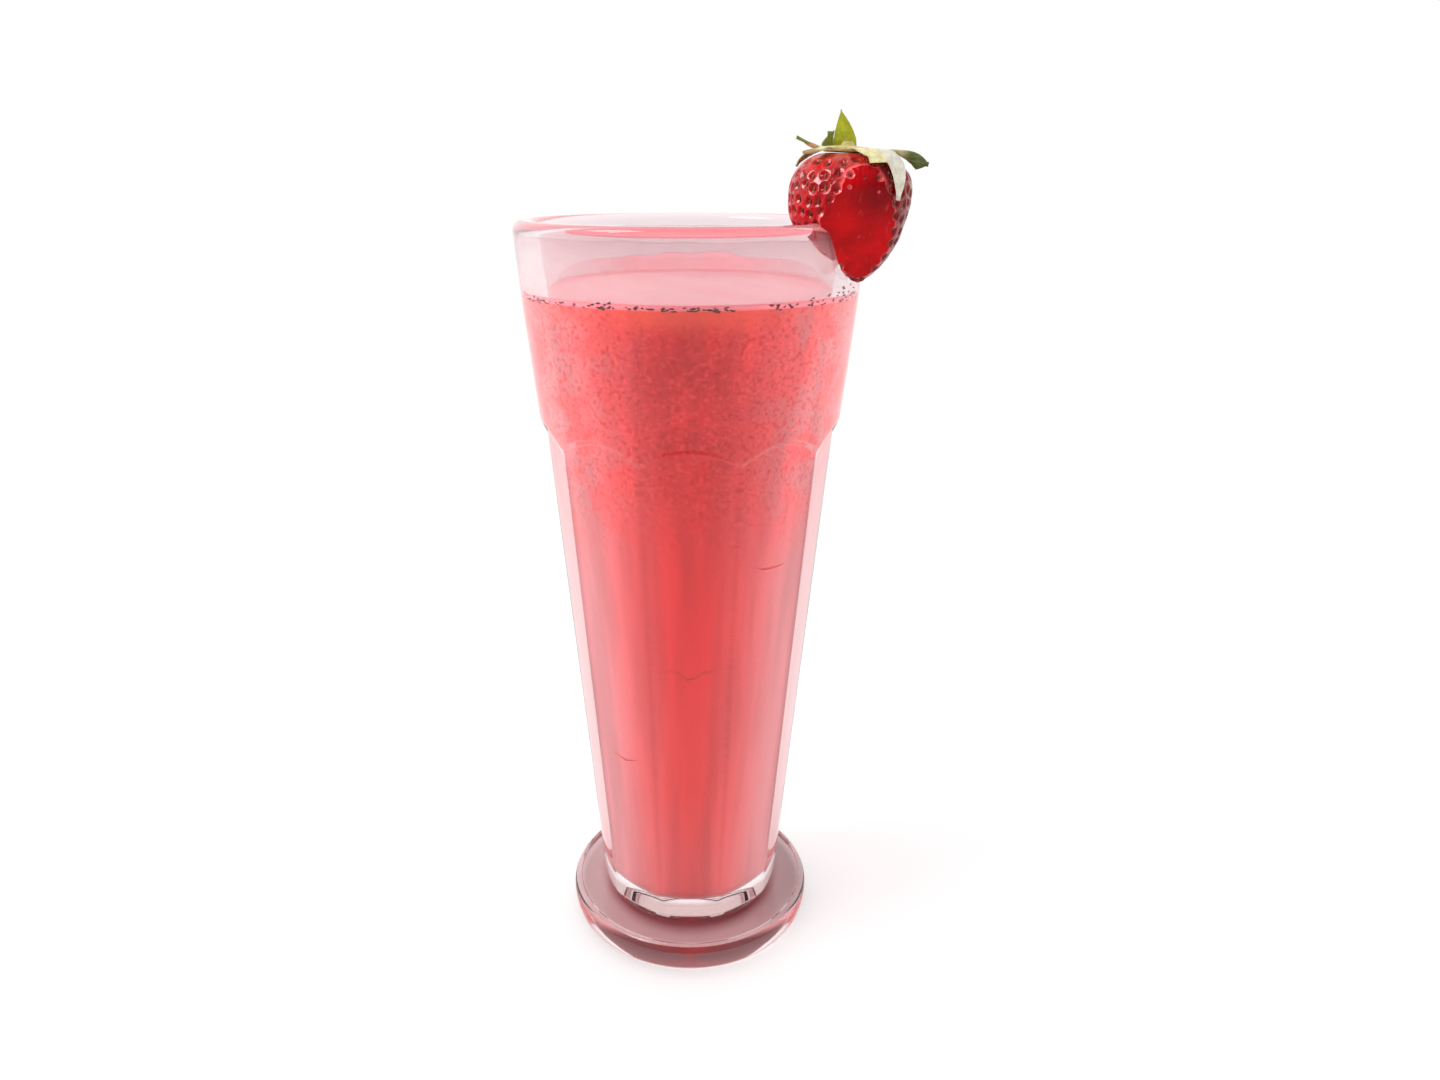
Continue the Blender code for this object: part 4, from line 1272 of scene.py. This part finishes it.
def pulp_finish():
    """The drink: painted light makes it paler towards its foot and its sides, mottled in its upper part,
    froth on top.
    """
    finish = Finish("strawberry_smoothie")
    height = finish.place("Z")
    # Painted light: paler and pinker towards the foot, where the floor's light falls, darker higher up.
    red = (0.92, 0.100, 0.100)
    for low, high, tint in (
        (14, 60, (0.90, 0.044, 0.044)),
        (60, 105, (0.88, 0.022, 0.024)),
        (115, 155, (0.74, 0.006, 0.010)),
    ):
        red = finish.mix(finish.ramp(height, low * MM, high * MM), red, tint)
    # Painted side light: paler and pinker towards the sides, away from the front and back.
    across = finish.math("ABSOLUTE", finish.place("X"))
    deep = finish.math("ABSOLUTE", finish.place("Y"))
    aside = finish.ramp(finish.math("ARCTAN2", across, deep), math.radians(3), math.radians(60))
    red = finish.mix(aside, red, (0.53, 0.18, 0.19))
    mottled = finish.ramp(height, 112 * MM, 150 * MM)
    clouds = finish.times(finish.ramp(finish.noise(110, 2.0), 0.40, 0.62), mottled)
    colour = finish.over(red, (0.84, 0.040, 0.040), clouds, 0.5)
    patches = finish.times(finish.ramp(finish.noise(420, 2.0), 0.30, 0.60), mottled)
    for centre, radii in DARK_PATCHES:
        patch = finish.times(finish.near(centre, radii), patches)
        colour = finish.over(colour, (0.50, 0.002, 0.006), patch, 0.55)
    spots = finish.times(finish.ramp(finish.noise(950, 3.0, 0.6), 0.48, 0.66), mottled)
    colour = finish.over(colour, (0.50, 0.001, 0.003), spots, 0.6)
    grains = finish.ramp(finish.noise(900, 3.0, 0.6, stretch=(1.1, 1.1, 1.1)), 0.50, 0.70)
    colour = finish.over(colour, (1.0, 0.10, 0.09), finish.times(grains, mottled), 0.45)
    streaks = finish.ramp(finish.noise(150, 2.0, stretch=(1.0, 1.0, 0.03)), 0.35, 0.65, 0.90, 1.10)
    colour = finish.mix(1.0, colour, streaks, "MULTIPLY")
    edge = finish.times(finish.ramp(height, 178 * MM, 184.6 * MM), finish.ramp(aside, 0.0, 0.6, 1.0, 0.2))
    colour = finish.over(colour, (1.0, 0.10, 0.055), edge, 0.8)
    top = finish.ramp(height, 184.7 * MM, 185.15 * MM)
    bubbles = finish.ramp(finish.cells(1300), 0.05, 0.5)
    pale = finish.mix(bubbles, (1.0, 0.17, 0.20), (1.0, 0.23, 0.27))
    colour = finish.mix(top, colour, pale)
    finish.set(
        Base_Color=colour,
        Roughness=0.55,
        Specular_IOR_Level=0.05,
        Sheen_Weight=1.0,
        Sheen_Roughness=0.45,
        Sheen_Tint=(1.0, 0.86, 0.88),
    )
    finish.bump(finish.cells(1300), 0.12 * MM, 0.35)
    return finish.material


def film_finish():
    finish = Finish("froth")
    bubbles = finish.ramp(finish.cells(1500), 0.05, 0.5)
    clouds = finish.ramp(finish.noise(300, 4.0, 0.6), 0.35, 0.7)
    colour = finish.mix(bubbles, (1.0, 0.38, 0.42), (1.0, 0.44, 0.49))
    colour = finish.mix(clouds, colour, (1.0, 0.48, 0.53))
    back = finish.ramp(finish.place("Y"), -5 * MM, 32 * MM, 0.25, 0.95)
    middle = finish.ramp(finish.math("ABSOLUTE", finish.place("X")), 12 * MM, 30 * MM, 1.0, 0.3)
    finish.set(Base_Color=colour, Roughness=0.5, Specular_IOR_Level=0.2, Alpha=finish.times(back, middle))
    finish.bump(finish.cells(1500), 0.10 * MM, 0.4)
    return finish.material


def smear_finish():
    finish = Finish("thin_froth")
    clouds = finish.ramp(finish.noise(120, 4.0, 0.6), 0.35, 0.7)
    colour = finish.mix(clouds, (1.0, 0.64, 0.68), (1.0, 0.72, 0.76))
    finish.set(Base_Color=colour, Roughness=0.5, Specular_IOR_Level=0.1, Alpha=0.22)
    finish.bump(finish.cells(900), 0.05 * MM, 0.3)
    return finish.material


# Two colours, the noise that mixes them (scale, detail, low, high), the relief (scale, detail,
# depth in mm, strength) and the roughness
BLOTCHY = {
    "speck": (
        (0.030, 0.006, 0.005), (0.14, 0.022, 0.014),
        (700, 2.0, 0.35, 0.65), (3000, 2.0, 0.05, 0.4), 0.45,
    ),
    "faint_mark": (
        (0.58, 0.016, 0.018), (0.70, 0.034, 0.038),
        (300, 2.0, 0.35, 0.65), (1300, 2.0, 0.05, 0.3), 0.55,
    ),
    "strawberry_inside": (
        (0.86, 0.20, 0.22), (0.95, 0.36, 0.38),
        (200, 3.0, 0.32, 0.70), (900, 3.0, 0.08, 0.4), 0.5,
    ),
    "strawberry_seed": (
        (0.09, 0.008, 0.003), (0.40, 0.11, 0.015),
        (420, 2.0, 0.35, 0.65), (3500, 2.0, 0.04, 0.4), 0.35,
    ),
}


def blotchy_finish(name):
    finish = Finish(name)
    first, second, clouds, relief, roughness = BLOTCHY[name]
    scale, detail, low, high = clouds
    tone = finish.ramp(finish.noise(scale, detail), low, high)
    finish.set(Base_Color=finish.mix(tone, first, second), Roughness=roughness)
    scale, detail, depth, strength = relief
    finish.bump(finish.noise(scale, detail), depth * MM, strength)
    return finish.material


def skin_finish():
    finish = Finish("strawberry_skin")
    patches = finish.ramp(finish.noise(130, 3.0, 0.55), 0.35, 0.68)
    colour = finish.mix(patches, (0.15, 0.0004, 0.0015), (0.27, 0.001, 0.003))
    fine = finish.ramp(finish.noise(900, 3.0, 0.6), 0.35, 0.7)
    colour = finish.over(colour, (0.38, 0.002, 0.006), fine, 0.3)
    # Painted shade in the hollow round each seed.
    painted_pit_shade = finish.attribute("painted_pit_shade")
    colour = finish.over(colour, (0.14, 0.001, 0.002), painted_pit_shade, 0.8)
    # Painted highlight along the raised ridge at the edge of the sliced face.
    ridge = finish.attribute("painted_cut_highlight")
    ridge = finish.times(ridge, finish.ramp(finish.noise(210, 2.0), 0.36, 0.52))
    colour = finish.over(colour, (0.85, 0.12, 0.12), ridge, 0.6)
    shoulder = finish.ramp(finish.place("Z"), 212.5 * MM, 217.5 * MM)
    colour = finish.over(colour, (0.62, 0.14, 0.06), shoulder, 0.12)
    gloss = finish.ramp(finish.noise(500, 3.0), 0.3, 0.7, 0.10, 0.22)
    finish.set(Base_Color=colour, Roughness=gloss, Specular_IOR_Level=0.24)
    finish.bump(finish.noise(1800, 4.0, 0.6), 0.08 * MM, 0.5)
    return finish.material


def flesh_finish():
    finish = Finish("strawberry_cut")
    patches = finish.ramp(finish.noise(150, 3.0, 0.55), 0.32, 0.70)
    colour = finish.mix(patches, (0.36, 0.0005, 0.002), (0.56, 0.001, 0.003))
    # Painted shade on the upper right of the sliced face.
    painted_shade_patch = finish.near((41, -33, 210), (8, 14, 9))
    colour = finish.over(colour, (0.13, 0.001, 0.004), painted_shade_patch, 0.75)
    # Brighter upright streaks: the flesh's fibres, with a painted highlight along them.
    fibres_and_highlight = finish.ramp(finish.noise(900, 3.0, 0.6, stretch=(1.0, 1.0, 0.16)), 0.60, 0.74)
    colour = finish.over(colour, (0.60, 0.05, 0.06), fibres_and_highlight, 0.4)
    dots = finish.ramp(finish.cells(420, stretch=(1, 1, 0.6)), 0.05, 0.16, 1.0, 0.0)
    chosen = finish.ramp(finish.noise(210, 2.0), 0.55, 0.62)
    dots = finish.times(dots, chosen)
    colour = finish.over(colour, (0.72, 0.14, 0.15), dots, 0.25)
    gloss = finish.ramp(finish.noise(260, 3.0), 0.3, 0.7, 0.22, 0.40)
    finish.set(Base_Color=colour, Roughness=gloss, Specular_IOR_Level=0.10)
    finish.bump(finish.noise(1500, 3.0, 0.6, stretch=(1.0, 1.0, 0.3)), 0.08 * MM, 0.5)
    return finish.material


def leaf_finish():
    finish = Finish("strawberry_leaf")
    tint = finish.attribute("tint", "Color")
    along = finish.attribute("along")
    across = finish.attribute("across")
    side = finish.math("ABSOLUTE", across)
    rib = finish.ramp(side, 0.03, 0.13, 1.0, 0.0)
    slanted = finish.math("SUBTRACT", finish.times(along, 34.0), finish.times(side, 9.0))
    veins = finish.ramp(finish.math("SINE", slanted), 0.72, 0.98)
    pattern = finish.math("MAXIMUM", rib, finish.times(veins, 0.55))
    colour = finish.over(tint, (0.80, 0.78, 0.42), pattern, 0.16)
    mottle = finish.ramp(finish.noise(620, 4.0, 0.6), 0.3, 0.7, 0.80, 1.15)
    colour = finish.mix(1.0, colour, mottle, "MULTIPLY")
    border = finish.ramp(side, 0.78, 1.0)
    colour = finish.over(colour, (0.30, 0.20, 0.06), border, 0.16)
    finish.set(Base_Color=colour, Roughness=0.5)
    relief = finish.math("ADD", pattern, finish.noise(1500, 3.0))
    finish.bump(relief, 0.10 * MM, 0.5)
    return finish.material


# Studio

# Brightness of the surroundings from behind the camera (0) to behind the glass (1)
WORLD_LEVELS = ((0.0, 0.35), (0.25, 0.45), (0.45, 1.0), (0.6, 1.15), (1.0, 1.15))
CAMERA_PLACE = (0.0, -0.2545, 0.21241)
CAMERA_TILT = math.radians(69.63)
CAMERA_LENS = 24.562
CAMERA_SHIFT = 30 / 1440
FLOOR_RINGS = (0.25, 0.8, 2.5)


def build_stage():
    """A plain pale floor, flat all round."""
    rings = []
    for radius in FLOOR_RINGS:
        rings.append(round_ring(radius, -AIR_UNDER_FOOT, 96))
    points, faces = loft(rings, (0.0, 0.0, -AIR_UNDER_FOOT))
    floor = mesh_object("pale_floor", points, faces)
    finish = Finish("pale_floor")
    tone = finish.ramp(finish.noise(14, 2.0), 0.2, 0.8, 0.92, 0.94)
    finish.set(
        Base_Color=finish.mix(1.0, (1.0, 1.0, 1.0), tone, "MULTIPLY"),
        Roughness=0.9,
        Specular_IOR_Level=0.0,
        Emission_Color=(1.0, 1.0, 1.0),
        Emission_Strength=0.22,
    )
    floor.data.materials.append(finish.material)


def area_light(name, place, target, width, height, power):
    light = bpy.data.lights.new(name, "AREA")
    light.shape = "RECTANGLE"
    light.size = width
    light.size_y = height
    light.energy = power
    made = bpy.data.objects.new(name, light)
    made.location = place
    away = Vector(place) - Vector(target)
    made.rotation_euler = away.to_track_quat("Z", "Y").to_euler()
    made.visible_camera = False
    bpy.context.scene.collection.objects.link(made)
    return made


def light_only(lights, pieces):
    """Let the lights reach these pieces alone."""
    reached = bpy.data.collections.new("reached_by_" + lights[0].name)
    for piece in pieces:
        reached.objects.link(piece)
    for light in lights:
        light.light_linking.receiver_collection = reached


def build_world():
    """White all round, darker behind the camera, plain white where the camera looks past."""
    world = bpy.data.worlds.new("studio")
    bpy.context.scene.world = world
    world.use_nodes = True
    tree = world.node_tree
    background = tree.nodes["Background"]
    place, split, ramp, spread, path, plain, blend = (tree.nodes.new("ShaderNode" + kind) for kind in (
        "TexCoord", "SeparateXYZ", "ValToRGB", "MapRange", "LightPath", "Background", "MixShader",
    ))
    spread.inputs["From Min"].default_value = -1.0
    ramp.color_ramp.elements[0].position = WORLD_LEVELS[0][0]
    ramp.color_ramp.elements[1].position = WORLD_LEVELS[-1][0]
    for position, _ in WORLD_LEVELS[1:-1]:
        ramp.color_ramp.elements.new(position)
    for element, (_, level) in zip(ramp.color_ramp.elements, WORLD_LEVELS):
        element.color = (level, level, level, 1.0)
    plain.inputs["Color"].default_value = (1.0, 1.0, 1.0, 1.0)
    for source, target in (
        (place.outputs["Generated"], split.inputs["Vector"]),
        (split.outputs["Y"], spread.inputs["Value"]),
        (spread.outputs["Result"], ramp.inputs["Fac"]),
        (ramp.outputs["Color"], background.inputs["Color"]),
        (path.outputs["Is Camera Ray"], blend.inputs[0]),
        (background.outputs["Background"], blend.inputs[1]),
        (plain.outputs["Background"], blend.inputs[2]),
        (blend.outputs["Shader"], tree.nodes["World Output"].inputs["Surface"]),
    ):
        tree.links.new(source, target)


def build_camera():
    data = bpy.data.cameras.new("camera")
    data.sensor_width = 36.0
    data.lens = CAMERA_LENS
    data.shift_x = CAMERA_SHIFT
    data.clip_start = 0.01
    data.clip_end = 20.0
    camera = bpy.data.objects.new("camera", data)
    camera.location = CAMERA_PLACE
    camera.rotation_euler = (CAMERA_TILT, 0.0, 0.0)
    bpy.context.scene.collection.objects.link(camera)
    bpy.context.scene.camera = camera


build_camera()
build_world()
build_stage()
area_light("top_box", (-0.35, -0.10, 0.75), (0.0, 0.0, 0.18), 0.25, 0.25, 1.2)
side_boxes = [
    area_light("left_box", (-0.45, -0.03, 0.16), (0.0, 0.0, 0.11), 0.30, 0.36, 2.7),
    area_light("right_box", (0.45, -0.03, 0.16), (0.0, 0.0, 0.11), 0.30, 0.36, 2.5),
]

build_glass(glass_finish())
drink = build_drink(pulp_finish())
film = build_film(film_finish())
build_smear(smear_finish())
build_specks(blotchy_finish("speck"))
marks = build_marks(blotchy_finish("faint_mark"))
seed_finish = blotchy_finish("strawberry_seed")
berry = build_berry(skin_finish(), flesh_finish(), blotchy_finish("strawberry_inside"), seed_finish)
build_leaves(leaf_finish())
light_only(side_boxes, (drink, marks, film))
berry_place = (0.035, -0.023, 0.205)
berry_boxes = [
    area_light("berry_left", (-0.265, -0.096, 0.372), berry_place, 0.16, 0.16, 2.2),
    area_light("berry_front", (0.015, -0.289, 0.501), berry_place, 0.06, 0.06, 0.4),
]
light_only(berry_boxes, (berry,))
light_only([area_light("film_box", (0.0, -0.35, 0.45), (0.0, 0.03, 0.188), 0.1, 0.1, 0.7)], (film,))

bpy.context.scene.view_settings.view_transform = "Standard"
bpy.context.scene.view_settings.look = "None"
